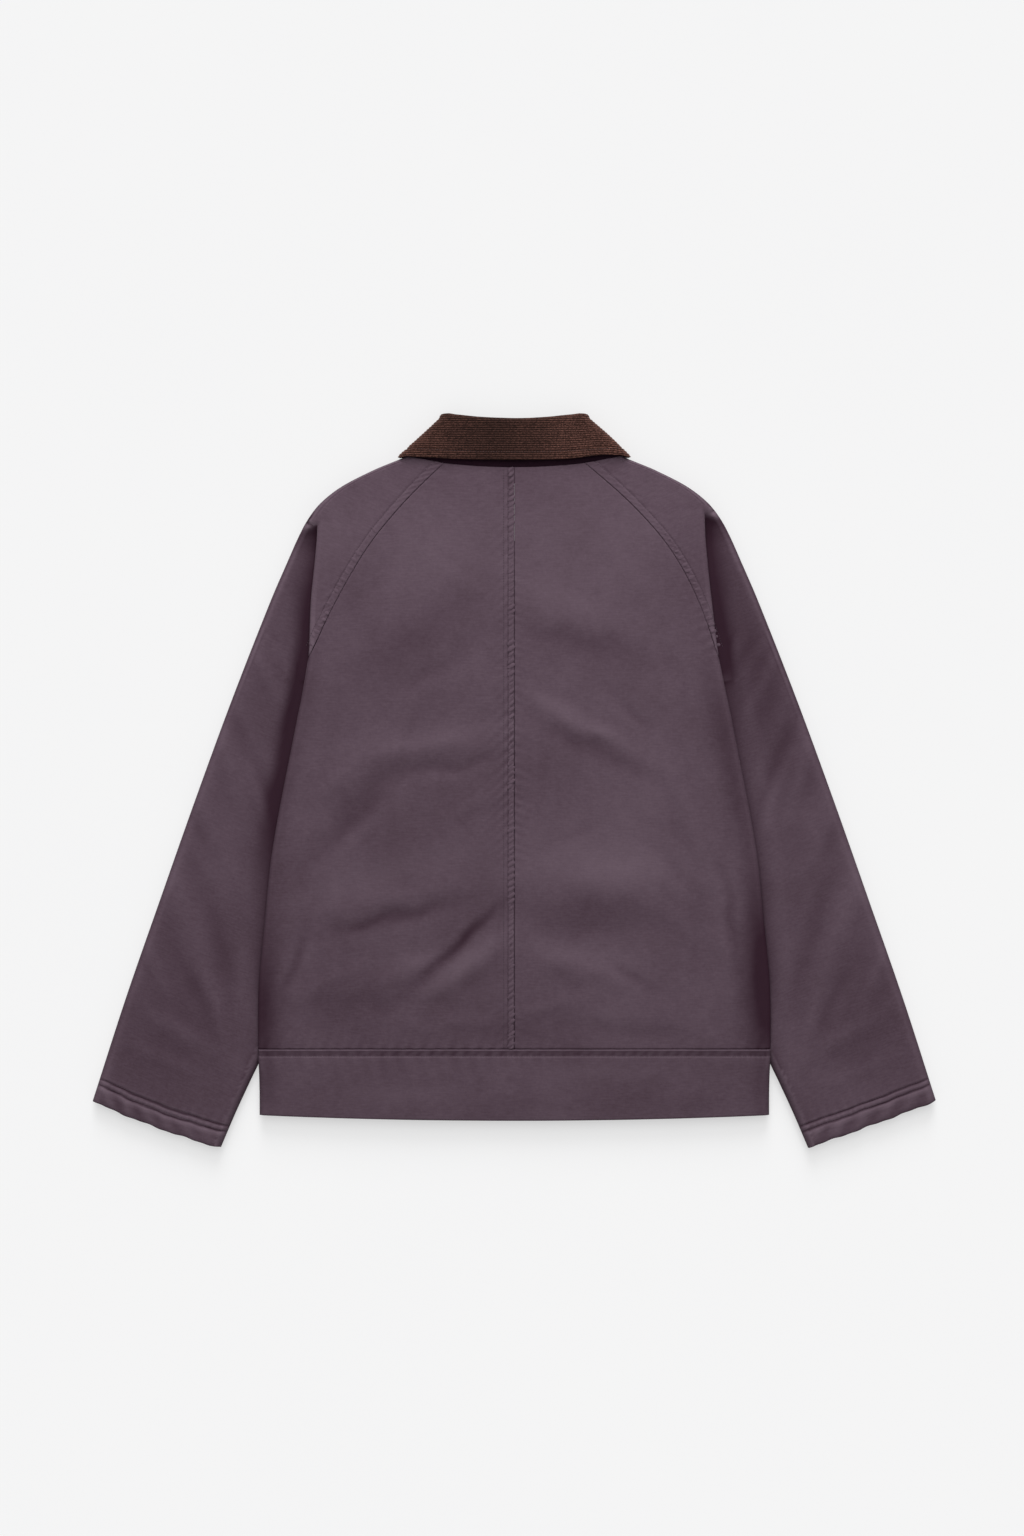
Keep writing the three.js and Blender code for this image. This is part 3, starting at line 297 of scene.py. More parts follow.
def stitched_seam(d, along, row, seed, pitch=6.7, pucker=0.42, reach=9.0):
    """The relief beside a seam. d is the distance from it, and `row` is where it is topstitched.

    The seam allowance lies under the side it is pressed to, and lifts that side a little. The
    stitches press the cloth down, it puckers in the strip between them and the seam, and beyond
    them it draws into small creases that run away at a slant."""
    side = 1 if row > 0 else -1
    out, width = d * side, abs(row)
    strip = smooth((out + 0.3) / 1.2) * smooth((width - out + 0.3) / 1.2)
    beyond = np.exp(-np.clip(out - width, 0, None) / reach) * (out > width - 0.6)
    relief = 0.4 * strip - 0.5 * np.exp(-((out / 0.7) ** 2)) - 0.35 * np.exp(-(((out - width) / 0.9) ** 2))
    relief = relief + pucker * strip * waver(along + 0.9 * out, pitch, seed)
    relief = relief + 0.8 * pucker * beyond * waver(along + 0.9 * out, 1.7 * pitch, 2.3 * seed)
    near = np.exp(-np.abs(out) / 8) * (out < 0)
    return relief + 0.7 * pucker * near * waver(along - 0.4 * out, 1.5 * pitch, 3.7 * seed)


# %% [markdown]
# ## Heights
#
# From above, a flat jacket is a map: every place has a height. The back is highest in the middle,
# where it lies on the fronts, and rolls down at each side. The sleeve under it lifts it, and the
# hem comes down to the surface. These functions give the outer face of each layer.

# %% Heights of the back
def back_edge(y):
    edge, under = through(BACK_HEIGHT, y, "edge"), through(BACK_HEIGHT, y, "under")
    return edge, under, (edge + under) / 2, (edge - under) / 2


def raglan_distance(side, x, y):
    """The distance from the raglan seam, above zero on the sleeve's side."""
    slope = (raglan_x(side, y + 2) - raglan_x(side, y - 2)) / 4
    return (x - raglan_x(side, y)) / np.sqrt(1 + slope * slope)


def back_relief(side, x, y):
    """Creases, puckers and a little unevenness of the back and the shoulder."""
    wx = side["sign"] * x
    relief = folds_at(BACK_CREASES, *unruly(wx, y))
    relief = relief + 0.3 * rough(wx, y, 42, 3.1) + 0.2 * rough(wx, y, 17, 7.7) + 0.07 * rough(wx, y, 6, 1.3)
    relief = relief + stitched_seam(wx, y, -MIDDLE_ROW, 0.4) * (np.abs(x) < 60)
    on_seam = smooth((y - UNDERARM_FOLD_Y + 4) / 14)
    slack = 0.22 + 0.5 * smooth((215 - y) / 70)
    raglan = stitched_seam(raglan_distance(side, x, y), y * 1.25, RAGLAN_ROW, 1.9 + side["sign"], 8.4, slack)
    relief = relief + on_seam * raglan * (np.abs(x) > 45)
    above_band = y - BAND_SEAM_Y
    return relief + 0.26 * np.exp(-above_band / 8) * waver(wx - 0.4 * above_band, 13, 5.2)


def back_crown(side, x, y):
    fold = fold_x(side, np.minimum(y, side["tip_y"]))
    out = np.clip(x / fold, 0, 1)
    level = lerp(through(BACK_HEIGHT, y, "middle"), back_edge(y)[0], out**4)
    calm = 1 - smooth((out - 0.86) / 0.14)
    return level + calm * folds_at(BACK_FOLDS, *unruly(side["sign"] * x, y))


def rolled(crown, mid, q):
    return mid + HALF_GAP + (crown - mid - HALF_GAP) * np.sqrt(1 - q * q)


def back_z(side, x, y, relief=True):
    _, _, mid, radius = back_edge(y)
    reach = roll_reach(radius)
    q = np.clip((x - fold_x(side, y) + reach) / reach, 0, 1)
    crown = back_crown(side, x, y)
    if relief:
        crown = crown + back_relief(side, x, y)
    return rolled(crown, mid, q)


def shoulder_z(side, x, y, outline_y):
    mid = through(OUTLINE_HEIGHT, outline_y, "z")
    q = np.clip((x - outline_x(outline_y) + ROLL) / ROLL, 0, 1)
    relief = back_relief(side, x, y) + overarm(y, outline_x(outline_y) - x)
    return rolled(back_crown(side, x, y) + relief, mid, q)


# %% [markdown]
# ## Making a panel
#
# A panel starts as Blender's plain grid. Its points are moved to where the pattern puts them, the
# edges that meet are merged, and a Solidify modifier gives the cloth its thickness, inwards. The
# UV map keeps the cloth's own grain in metres, so the weave runs down each sleeve and not across
# it. One more number goes with each point: how much paler or darker its colour is made. It is
# higher on ridges, where the wax is rubbed pale, and lower in furrows, which is painted shade;
# each panel's painted shade and highlight are added to it as well.

# %% From rows of points to a piece of cloth
def grain_uv(bm, turn):
    uv = bm.loops.layers.uv.new("grain")
    c, s = math.cos(turn), math.sin(turn)
    for face in bm.faces:
        for loop in face.loops:
            x, y, _ = loop.vert.co
            loop[uv].uv = (x * c + y * s, y * c - x * s)


def lay_grid(bm, points, rub_and_shade):
    """One of Blender's grids, moved to rows of points in millimetres."""
    rows, columns = points.shape[:2]
    rub_and_shade_level = bm.verts.layers.float.get("rub_and_shade") or bm.verts.layers.float.new("rub_and_shade")
    made = bmesh.ops.create_grid(bm, x_segments=columns - 1, y_segments=rows - 1, size=0.5)
    for vert in made["verts"]:
        i, j = round((vert.co.y + 0.5) * (rows - 1)), round((vert.co.x + 0.5) * (columns - 1))
        vert[rub_and_shade_level] = rub_and_shade[i, j]
        vert.co = points[i, j] * MM


def as_object(bm, name):
    mesh = bpy.data.meshes.new(name)
    bm.to_mesh(mesh)
    bm.free()
    mesh.shade_smooth()
    piece = bpy.data.objects.new(name, mesh)
    bpy.context.collection.objects.link(piece)
    return piece


def cloth(name, patches, side=None, grain=0.0, thickness=CLOTH, tone_and_shade=None):
    """A piece of cloth from grids of points. On the left side they are mirrored.

    The last argument gives the places where the colour is paler, above zero, or darker: painted shade and
    highlight, with a little uneven tone."""
    bm = bmesh.new()
    for points in patches:
        # Rubbed wax makes ridges paler; furrows are made darker, which is painted shade. The panel's painted
        # shade and highlight and a little uneven tone come on top.
        rub_and_shade_level = ridges_of(points)
        if tone_and_shade is not None:
            rub_and_shade_level = np.clip(rub_and_shade_level + tone_and_shade(points), 0, 1)
        placed = points.copy()
        if side is not None and side["sign"] < 0:
            placed[..., 0] *= -1
            placed, rub_and_shade_level = placed[::-1], rub_and_shade_level[::-1]
        lay_grid(bm, placed, rub_and_shade_level)
    bmesh.ops.remove_doubles(bm, verts=bm.verts, dist=0.02 * MM)
    grain_uv(bm, grain)
    piece = as_object(bm, name)
    wall = piece.modifiers.new("thickness", "SOLIDIFY")
    wall.thickness = thickness * MM
    wall.offset = -1
    return piece


# %% Where the wax is rubbed, and where shade is painted in the furrows
def blurred(values, passes):
    for _ in range(passes):
        padded = np.pad(values, 1, mode="edge")
        values = (padded[:-2, 1:-1] + padded[2:, 1:-1] + padded[1:-1, :-2]
                  + padded[1:-1, 2:] + values * 2) / 6
    return values


# Ridges come out paler, as rubbed wax; furrows come out darker, as painted shade.
def ridges_of(points):
    """0.5 on level cloth, towards 1 on ridges and 0 in furrows."""
    height = points[..., 2]
    return np.clip(0.5 + (height - blurred(height, 10)) / 2.4, 0, 1)


def spread(count, fine=0.0, fine_count=0, roll_count=12):
    """Shares of the way across a panel, closer together over its first part, and of the way
    round its side roll at the end."""
    flat = np.concatenate([np.linspace(0, fine, fine_count, endpoint=False),
                           np.linspace(fine, 1, count - fine_count - roll_count), np.ones(roll_count)])
    roll_turn = np.sin(np.linspace(0, 1, roll_count + 1)[1:] * math.pi / 2)
    turn = np.concatenate([np.zeros(count - roll_count), roll_turn])
    return flat, turn


# %% [markdown]
# ## The back
#
# The back is cut in two halves, sewn up the middle. Each half runs from the middle seam to the
# side, where it rolls under, and its upper edge is the long curve of the raglan seam.

# %% Two back halves
def back_half(side, rows=326, columns=122):
    y = np.linspace(BAND_SEAM_Y + HALF_GAP, NECK_Y["raglan"] - HALF_GAP, rows)[:, None]
    fold = fold_x(side, y)
    gap = lerp(1.0, HALF_GAP, smooth((y - UNDERARM_FOLD_Y) / 50))
    edge = np.where(y <= UNDERARM_FOLD_Y, fold, np.minimum(raglan_x(side, y) - gap, fold))
    start = np.minimum(edge - 2, fold - roll_reach(back_edge(y)[3]))
    flat, turn = spread(columns, 0.07, 22)
    x = lerp(HALF_GAP, start, flat) + (edge - start) * turn
    droop = (NECK_Y["raglan"] - NECK_Y["middle"]) * smooth((y - 230) / (NECK_Y["raglan"] - 230))
    row_y = y - droop * (1 - (x / edge) ** 2)
    points = np.stack([x, row_y + 0 * x, back_z(side, x, row_y)], axis=-1)

    def tone_and_shade(points):
        return tone_and_shade_at(BACK_SHADE_AND_HIGHLIGHT, side["sign"] * points[..., 0], points[..., 1])

    return cloth(f"back_{side['name']}_cloth", [points], side, tone_and_shade=tone_and_shade)


backs = {side["name"]: back_half(side) for side in SIDES}
print("back panels:", [len(piece.data.polygons) for piece in backs.values()], "faces")

# %% [markdown]
# ## The sleeves
#
# A raglan sleeve runs up to the neck, with no shoulder seam. When the jacket is laid down, the
# sleeve is folded down beside the body: its cloth turns over the fold at the shoulder, lies back
# under the body as far as the armpit, and comes out again as the sleeve's tube. So each row of
# the sleeve's head is a path: along the shoulder, round the fold, back, round a tight crease and
# out to the outline. Near the fold's tip the path opens into the plain shoulder.

# %% The tube of the sleeve
CUFF_LINE = np.array([CUFF["outer_x"] - CUFF["inner_x"], CUFF["outer_y"] - CUFF["inner_y"]])
CUFF_DOWN = np.array([CUFF_LINE[1], -CUFF_LINE[0]]) / math.hypot(*CUFF_LINE)
SLEEVE_TURN = math.atan2(CUFF["outer_x"] - 254.8, 190 - CUFF["outer_y"])


def cuff_hang(side, out, share):
    """How far the cuff's edge hangs below the straight line between its corners."""
    wave = 0.5 * np.sin(out * 21 + side["sign"]) + 0.3 * np.sin(out * 47 + 2 * side["sign"])
    bow = side["cuff_bow"] * np.sin(math.pi * np.clip(out, 0, 1)) ** 0.7
    return (bow + wave) * smooth((share - 0.9) / 0.1)


def tube_row(share):
    inner_y = lerp(ARMPIT["y"], CUFF["inner_y"], share)
    outer_y = lerp(ARMPIT_OUTER_Y, CUFF["outer_y"], share)
    inner = np.array([inner_x(inner_y), inner_y])
    outer = np.array([outline_x(outer_y), outer_y])
    return inner, outer, math.dist(inner, outer), float(through(OUTLINE_HEIGHT, outer_y, "z"))


def from_cuff(x, y):
    """The distance up the sleeve from its edge."""
    ax, ay = CUFF["inner_x"], CUFF["inner_y"]
    bx, by = CUFF["outer_x"], CUFF["outer_y"]
    length = math.hypot(bx - ax, by - ay)
    return ((bx - ax) * (y - ay) - (by - ay) * (x - ax)) / length


def overarm(y, inside):
    """The over-arm seam, a fine welt that shows a little inside the outline."""
    shown = smooth((y - 20) / 120)
    welt = 0.5 * np.exp(-(((inside - 4.2) / 1.4) ** 2)) - 0.45 * np.exp(-(((inside - 7.2) / 1.2) ** 2))
    return shown * welt


def cuff_sag(side, out):
    """How far the rows of stitches at the cuff hang below straight lines."""
    return 0.8 * side["cuff_bow"] * np.sin(math.pi * np.clip(out, 0, 1))


def cuff_relief(side, x, y):
    """The turned hem: two rows of stitches with a padded ridge between, and slanted wrinkles."""
    up = from_cuff(x, y)
    across = (x - CUFF["inner_x"]) + 0.4 * up
    up = up + cuff_sag(side, across / 133)
    low, high = CUFF_ROWS
    hem = smooth((low - up + 0.6) / 1.2)
    ridge = smooth((up - low - 0.4) / 1.5) * smooth((high - up - 0.4) / 1.5)
    relief = 1.0 * hem + 0.55 * ridge
    for row in CUFF_ROWS:
        relief = relief - 1.15 * np.exp(-(((up - row) / 0.95) ** 2))
    relief = relief + 0.4 * np.exp(-(((up - low + 4.2) / 2.6) ** 2))
    hem_wave = waver(across - 0.8 * up, 23, 0.7 + side["sign"])
    relief = relief + 0.7 * hem * hem_wave * np.exp(-(((up - 9) / 8) ** 2))
    relief = relief + 0.24 * ridge * waver(across, 6.4, 2.6 + side["sign"])
    return relief + 0.22 * np.exp(-np.abs(up - high) / 8) * (up > high) * waver(across, 11, 4.4)


def sleeve_relief(side, x, y):
    wx = side["sign"] * x
    relief = folds_at(SLEEVE_CREASES, x, y + 6 * side["sign"])
    for depth, size, seed in ((0.32, 38, 11.2), (0.12, 14, 4.4), (0.04, 5, 2.9)):
        relief = relief + depth * rough(wx, y, size, seed)
    return relief + cuff_relief(side, x, y) + overarm(y, outline_x(y) - x)


def from_fold(side, x, y):
    return x - fold_x(side, np.clip(y, -340, side["tip_y"]))


def sleeve_crown(side, x, y, least=0.0):
    """The sleeve's upper face. Beside the fold the cloth sinks into a gully."""
    away = from_fold(side, x, y)
    free = smooth((away + 6) / 30)
    swell = SLEEVE_PUFF * free * smooth((250 - y) / 120)
    deep = smooth((y - side["gully_end"] + 60) / 140) * smooth((282 - y) / 40)
    gully = GULLY_DEPTH * deep * np.exp(-(((away - 6) / 14) ** 2))
    level = SLEEVE_TOP + swell + free * (folds_at(SLEEVE_FOLDS, x, y) + sleeve_relief(side, x, y))
    return np.maximum(level, least) - gully


def tube_grids(side, shares, columns=64, roll_columns=8):
    """The upper side of the tube: from the crease out to the outline, and its inner roll."""
    top, inner_roll = [], []
    for share in shares:
        inner, outer, width, outer_mid = tube_row(share)
        flat = np.linspace(ROLL, width - ROLL, columns)
        turn = np.sin(np.linspace(0, 1, roll_columns + 1)[1:] * math.pi / 2)
        along = np.concatenate([flat, width - ROLL + ROLL * turn])
        q = np.concatenate([0 * flat, turn])
        spot = inner + (outer - inner) * (along / width)[:, None]
        crown = sleeve_crown(side, spot[:, 0], spot[:, 1])
        hang = cuff_hang(side, along / width, share)[:, None] * CUFF_DOWN
        end = np.clip((share - 0.985) / 0.015, 0, 1)
        crown = crown - 1.4 * end * end
        top.append(np.column_stack([spot + hang, rolled(crown, outer_mid, q)]))
        turn = np.linspace(0, 1, roll_columns)
        along = ROLL * (1 - np.cos(turn * math.pi / 2))
        spot = inner + (outer - inner) * (along / width)[:, None]
        crown = sleeve_crown(side, spot[:, 0], spot[:, 1])
        hang = cuff_hang(side, along / width, share)[:, None] * CUFF_DOWN
        row = np.column_stack([spot + hang, rolled(crown, SLEEVE_MID, 1 - along / ROLL)])
        row[-1] = top[-1][0]
        inner_roll.append(row)
    return np.array(top), np.array(inner_roll)


# %% The sleeve's head, with its fold
SLEEVE_HEAD = table("along turn tuck", [
    (0, 180, 1), (0.09, 180, 0.9), (0.2, 180, 0.78), (0.37, 180, 0.57), (0.53, 180, 0.36),
    (0.65, 178, 0.22), (0.77, 165, 0.1), (0.86, 130, 0.05), (0.92, 88, 0.045), (0.965, 45, 0.045),
    (1, 14, 0.045),
])


def resampled(path, count):
    """The same path with its points spread evenly along it."""
    steps = np.linalg.norm(np.diff(path, axis=0), axis=1)
    length = np.concatenate([[0], np.cumsum(steps)])
    at = np.linspace(0, length[-1], count)
    return np.column_stack([np.interp(at, length, path[:, k]) for k in range(3)])


def head_row(side, along, turn, tuck, y, tuck_to, columns):
    angle = math.radians(turn)
    folded = float(smooth(turn / 50))
    rise = (NECK_Y["side"] - NECK_Y["raglan"]) * max(along - 1, 0) ** 2
    outer_y = lerp(ARMPIT_OUTER_Y, side["tip_y"] - 4, along) if along <= 1 else y + rise
    outer_x = float(outline_x(outer_y))
    seam = float(raglan_x(side, y)) + HALF_GAP
    ridge = float(fold_x(side, y))
    if along > 1:
        tip, tip_outline = float(fold_x(side, side["tip_y"])), float(outline_x(side["tip_y"]))
        near = lerp((tip - 130) / (tip_outline - 130), 0.5, along - 1)
        ridge = lerp(seam, outer_x, near)
    reach = float(roll_reach(FOLD_RADIUS)) * folded
    start = min(ridge, outer_x - 3) - reach
    top = float(shoulder_z(side, start, y, outer_y))
    level = float(back_crown(side, np.float64(start), np.float64(y)))
    top = lerp(top, level, folded)
    fold_at = float(fold_x(side, UNDERARM_FOLD_Y))
    length = max(tuck * (fold_at - reach - tuck_to[0]), 3)
    shift_y = tuck * (tuck_to[1] - UNDERARM_FOLD_Y)
    first = math.asin(min(max((seam - start) / max(reach, 0.01), 0), 1)) if seam > start else 0
    a = np.linspace(min(first, angle), angle, 16)
    roll = np.column_stack([start + reach * np.sin(a), 0 * a + y, top - FOLD_RADIUS * (1 - np.cos(a))])
    back = roll[-1] + [length * math.cos(angle), shift_y, -length * math.sin(angle)]
    leaf = roll[-1] + (back - roll[-1]) * np.linspace(0, 1, 24)[1:, None]
    b = np.linspace(angle, 0, 7)[1:]
    crease = np.column_stack([
        back[0] + TUCK_RADIUS * (math.sin(angle) - np.sin(b)),
        0 * b + back[1],
        back[2] + TUCK_RADIUS * (math.cos(angle) - np.cos(b)),
    ])
    end = crease[-1] if along > 0 else tuck_to
    width = math.hypot(outer_x - end[0], outer_y - end[1])
    reach_out = min(ROLL, 0.8 * width)
    mid = float(through(OUTLINE_HEIGHT, outer_y, "z"))
    d = np.concatenate([np.linspace(0, width - reach_out, 50),
                        width - reach_out * (1 - np.sin(np.linspace(0, 1, 9)[1:] * math.pi / 2))])
    px, py = lerp(end[0], outer_x, d / width), lerp(end[1], outer_y, d / width)
    crown = lerp(end[2], sleeve_crown(side, px, py, 2 * mid - 0.4), smooth(d / 60))
    tube = np.column_stack([px, py, rolled(crown, mid, np.clip((d - width + reach_out) / reach_out, 0, 1))])
    tube[0] = end
    hidden, shown = columns
    path = np.vstack([resampled(np.vstack([roll, leaf, crease[:-1], tube[:1]]), hidden), tube[1:]])
    if folded < 1:
        k = np.linspace(0, 1, len(path))
        flat_x = lerp(start, outer_x, np.sin(k * math.pi / 2))
        flat_y = lerp(y, y if along > 1 else outer_y, k)
        flat = np.column_stack([flat_x, flat_y, shoulder_z(side, flat_x, y, outer_y)])
        path = flat + (path - flat) * folded
    share = np.linspace(0, 1, shown)[:-1, None]
    if seam < start:
        cap_x = lerp(seam, start, share[:, 0])
        cap_z = lerp(shoulder_z(side, cap_x, y, outer_y), back_crown(side, cap_x, y), folded)
        cap_z = cap_z + folded * smooth((start - cap_x) / 10) * back_relief(side, cap_x, y)
        cap = np.column_stack([cap_x, 0 * cap_x + y, cap_z])
        cap[:, 2] += (path[0][2] - cap_z[-1]) * share[:, 0] ** 3
    else:
        cap = np.repeat(path[:1], shown - 1, axis=0)
    return np.vstack([cap, path])


def sleeve_back(side):
    shares = np.concatenate([np.linspace(0, 0.88, 150), np.linspace(0.88, 1, 50)[1:]])
    top, inner_roll = tube_grids(side, shares, columns=50)
    tuck_to = top[0][0]
    columns = (50, 46)
    rows = []
    for along in np.linspace(0, 1, 78):
        turn = float(np.clip(through(SLEEVE_HEAD, along, "turn", "along"), 0, 180))
        tuck = float(np.clip(through(SLEEVE_HEAD, along, "tuck", "along"), 0.045, 1))
        y = lerp(UNDERARM_FOLD_Y, side["tip_y"], along)
        rows.append(head_row(side, along, turn, tuck, y, tuck_to, columns))
    tube_start = rows[0].shape[0] - top.shape[1]
    rows[0][tube_start:] = top[0]
    rise = NECK_Y["side"] - NECK_Y["raglan"]
    for share in np.linspace(0, 1, 34)[1:]:
        y = lerp(side["tip_y"], NECK_Y["raglan"] - HALF_GAP, share)
        row = head_row(side, 1 + share, 0, 0, y, tuck_to, columns)
        out = (row[:, 0] - row[0, 0]) / (row[-1, 0] - row[0, 0])
        row[:, 1] += rise * share * share * out
        rows.append(row)
    patches = [np.array(rows), top[::-1], inner_roll[::-1]]

    def tone_and_shade(points):
        x, y, z = points[..., 0], points[..., 1], points[..., 2]
        # Painted shade on the sleeve beside the fold at the shoulder, where the body's edge stands over it.
        away = np.clip(from_fold(side, x, y), 0, None)
        level = smooth((y - side["gully_end"]) / 60) * smooth((286 - y) / 14)
        gully = (0.5 * np.exp(-((away / GULLY_SHADE_REACH) ** 1.3)) + 0.06 * np.exp(-away / 50)) * (z < 15.5) * level
        inside = outline_x(y) - x
        # A pale line on the over-arm welt, partly rubbed wax and partly painted highlight, and painted shade
        # on the rolled edge itself.
        rim = 0.16 * np.exp(-(((inside - 4.6) / 1.7) ** 2)) * smooth((y - 60) / 140)
        rim = rim - 0.16 * np.exp(-((inside / 5) ** 2))
        up = from_cuff(x, y)
        # A painted highlight below the cuff's lower row.
        lit = 0.12 * np.exp(-(((up - 12) / 5) ** 2))
        # Painted shade at the sleeve's inner edge, where it goes under the body, and beside the fold lower
        # down.
        inner = 0.3 * np.exp(-np.clip(x - inner_x(y), 0, None) / 6) * smooth((-200 - y) / 60)
        inner = inner + 0.22 * np.exp(-away / 7) * smooth((150 - y) / 60) * smooth((y + 270) / 80)
        return rim + lit - gully - inner + tone_and_shade_at(SLEEVE_SHADE_AND_HIGHLIGHT, side["sign"] * x, y)

    return cloth(f"sleeve_back_{side['name']}_cloth", patches, side, side["sign"] * SLEEVE_TURN, tone_and_shade=tone_and_shade)


sleeves = {side["name"]: sleeve_back(side) for side in SIDES}
print("sleeves:", [len(piece.data.polygons) for piece in sleeves.values()], "faces")

# %% [markdown]
# ## The hem band
#
# The band is a folded strip of the same cloth, sewn to the lower edge and topstitched. It is
# doubled, so it stands a little prouder and its lower edge is a soft fold.

# %% Hem band, back
BAND_CLOTH = 2.2
BAND_PROUD = 0.6
# Painted shade (below zero) at the band's rolled sides and in a few troughs, and painted highlight (above
# zero) on a few ridges.
BAND_SHADE_AND_HIGHLIGHT = table(FOLD_COLUMNS, [
    (-262, -316, 90, 50, 12, -0.16), (262, -316, 90, 50, 12, -0.2), (-120, -330, 0, 60, 10, 0.08),
    (96, -306, 0, 70, 9, 0.08), (30, -340, 0, 60, 9, -0.08), (190, -338, 0, 40, 9, -0.08),
])


def hem_y(out):
    return lerp(HEM_Y["middle"], HEM_Y["side"], out * out)


def band_relief(wx, y):
    below = BAND_SEAM_Y - y
    from_hem = y - hem_y(wx / 268)
    relief = 0.4 * np.exp(-(((below - 1.2) / 0.8) ** 2)) - 0.8 * np.exp(-((below / 0.5) ** 2))
    relief = relief - 0.5 * smooth((below - 1.8) / 5.2) * (1 - smooth((below - BAND_ROW + 0.5) / 1.5))
    relief = relief + 0.2 * np.exp(-np.abs(below - BAND_ROW) / 2.6) * waver(wx, 5.6, 1.2)
    relief = relief + 0.3 * np.exp(-np.abs(below - 8) / 13) * waver(wx - 0.3 * below, 17, 5.2)
    relief = relief + 0.16 * np.exp(-np.abs(from_hem - 6) / 9) * waver(wx, 21, 8.8)
    relief = relief + 0.55 * rough(wx, y * 0.8, 34, 9.4) + 0.14 * rough(wx, y, 11, 6.1)
    return relief - 1.1 * np.exp(-from_hem / 0.9)


def band_tone_and_shade(points):
    x, y = points[..., 0], points[..., 1]
    below = BAND_SEAM_Y - y
    # Painted shade in the stitched strip between the seam and the row, and a painted highlight just below the
    # row.
    strip = smooth((below - 1.5) / 0.8) * (1 - smooth((below - BAND_ROW + 1.0) / 1.0))
    lit = 0.14 * np.exp(-(((below - BAND_ROW - 1.0) / 0.8) ** 2))
    return lit - strip * (0.17 + 0.1 * waver(x + 0.8 * below, 12.6, 2.2)) + tone_and_shade_at(BAND_SHADE_AND_HIGHLIGHT, x, y)


def hem_band_back(columns=170):
    halves = {}
    share = np.concatenate([np.linspace(0, 0.05, 6)[:-1], np.linspace(0.05, 0.86, 26)[:-1],
                            np.linspace(0.86, 1, 22)])[:, None]
    for side in SIDES:
        flat, turn = spread(columns)
        fold = fold_x(side, BAND_SEAM_Y)
        out = lerp(0, 1 - ROLL / fold, flat) + ROLL / fold * turn
        y = lerp(hem_y(out), BAND_SEAM_Y - HALF_GAP, share)
        x = np.where(out < 0.9, out * fold, fold_x(side, y) - (1 - out) * fold)
        _, _, mid, radius = back_edge(y)
        q = np.clip((x - fold_x(side, y) + roll_reach(radius, 2.6)) / roll_reach(radius, 2.6), 0, 1)
        crown = back_crown(side, x, y) + BAND_PROUD + band_relief(side["sign"] * x, y)
        halves[side["name"]] = np.stack([x, y, rolled(crown, mid, q)], axis=-1)
    left = halves["left"][:, :0:-1] * [-1, 1, 1]
    points = np.concatenate([left, halves["right"]], axis=1)
    return cloth("hem_band_back_cloth", [points], thickness=BAND_CLOTH, tone_and_shade=band_tone_and_shade)


band = hem_band_back()
print("hem band:", len(band.data.polygons), "faces")

# %% [markdown]
# ## The collar
#
# The collar is corduroy on the outside, turned down over a stand of the shell's cloth, of which a
# dark strip shows under its edge. The strip's darkness is painted shade in the stand's colour.
# Corduroy has ridges of cut pile, called wales, about 2.3 mm apart. A bump map would do from
# afar, but the wales show at the fold and at the edges, so they are raised in the mesh: each one
# is a rounded row that runs the length of the collar.

# %% Collar lines
WALE = 2.34
WALE_HEIGHT = 0.5
COLLAR_CLOTH = 2.2
COLLAR_ROLL = 4.6
COLLAR_TURN = math.radians(112)
ROLL_LINE = {"back": (0, 376.4), "side": (79.2, 381.4), "front": [(50, 338), (34.5, 297), (16, 265)],
             "up": 19.6, "down": 0.5, "turn": 11}
LEAF_EDGE = {"back": (0, 336.6), "side": (123.0, 340.6), "front": [(111, 290), (91, 247), (68, 207)],
             "up": 23.1, "down": 0.5, "turn": 10}


def collar_line(line, places):
    """Points of a line of the collar. A place is 0 to 1 on the back, 1 to 2 round the side fold
    and 2 to 3 on the front."""
    straight = line["side"][0] - line["turn"]
    mid, half = (line["up"] + line["down"]) / 2, (line["up"] - line["down"]) / 2
    front = np.array([(straight, line["side"][1]), *line["front"]], float)
    points = []
    for place in places:
        if place <= 1:
            y = lerp(line["back"][1], line["side"][1], place**2)
            points.append((straight * place, y, line["up"]))
        elif place <= 2:
            a = (place - 1) * math.pi
            points.append((straight + line["turn"] * math.sin(a), line["side"][1], mid + half * math.cos(a)))
        else:
            k = (place - 2) * (len(front) - 1)
            x, y = (np.interp(k, np.arange(len(front)), front[:, axis]) for axis in (0, 1))
            points.append((x, y, line["down"]))
    return np.array(points)


def collar_ways(places):
    """The way out of the collar's outer face, and the way from the neck to the roll."""
    a = np.clip(places - 1, 0, 1) * math.pi
    up = np.column_stack([np.sin(a), 0 * a, np.cos(a)])
    t = smooth((places - 1.8) / 0.4)[:, None]
    out = lerp(np.array([[0, 1, 0]]), np.array([[-0.88, 0.47, 0]]), t)
    return up, out / np.linalg.norm(out, axis=1)[:, None]


# %% The corduroy leaf
def facing(points):
    along, across = np.gradient(points, axis=1), np.gradient(points, axis=0)
    normal = np.cross(along, across)
    return normal / np.linalg.norm(normal, axis=-1)[..., None]


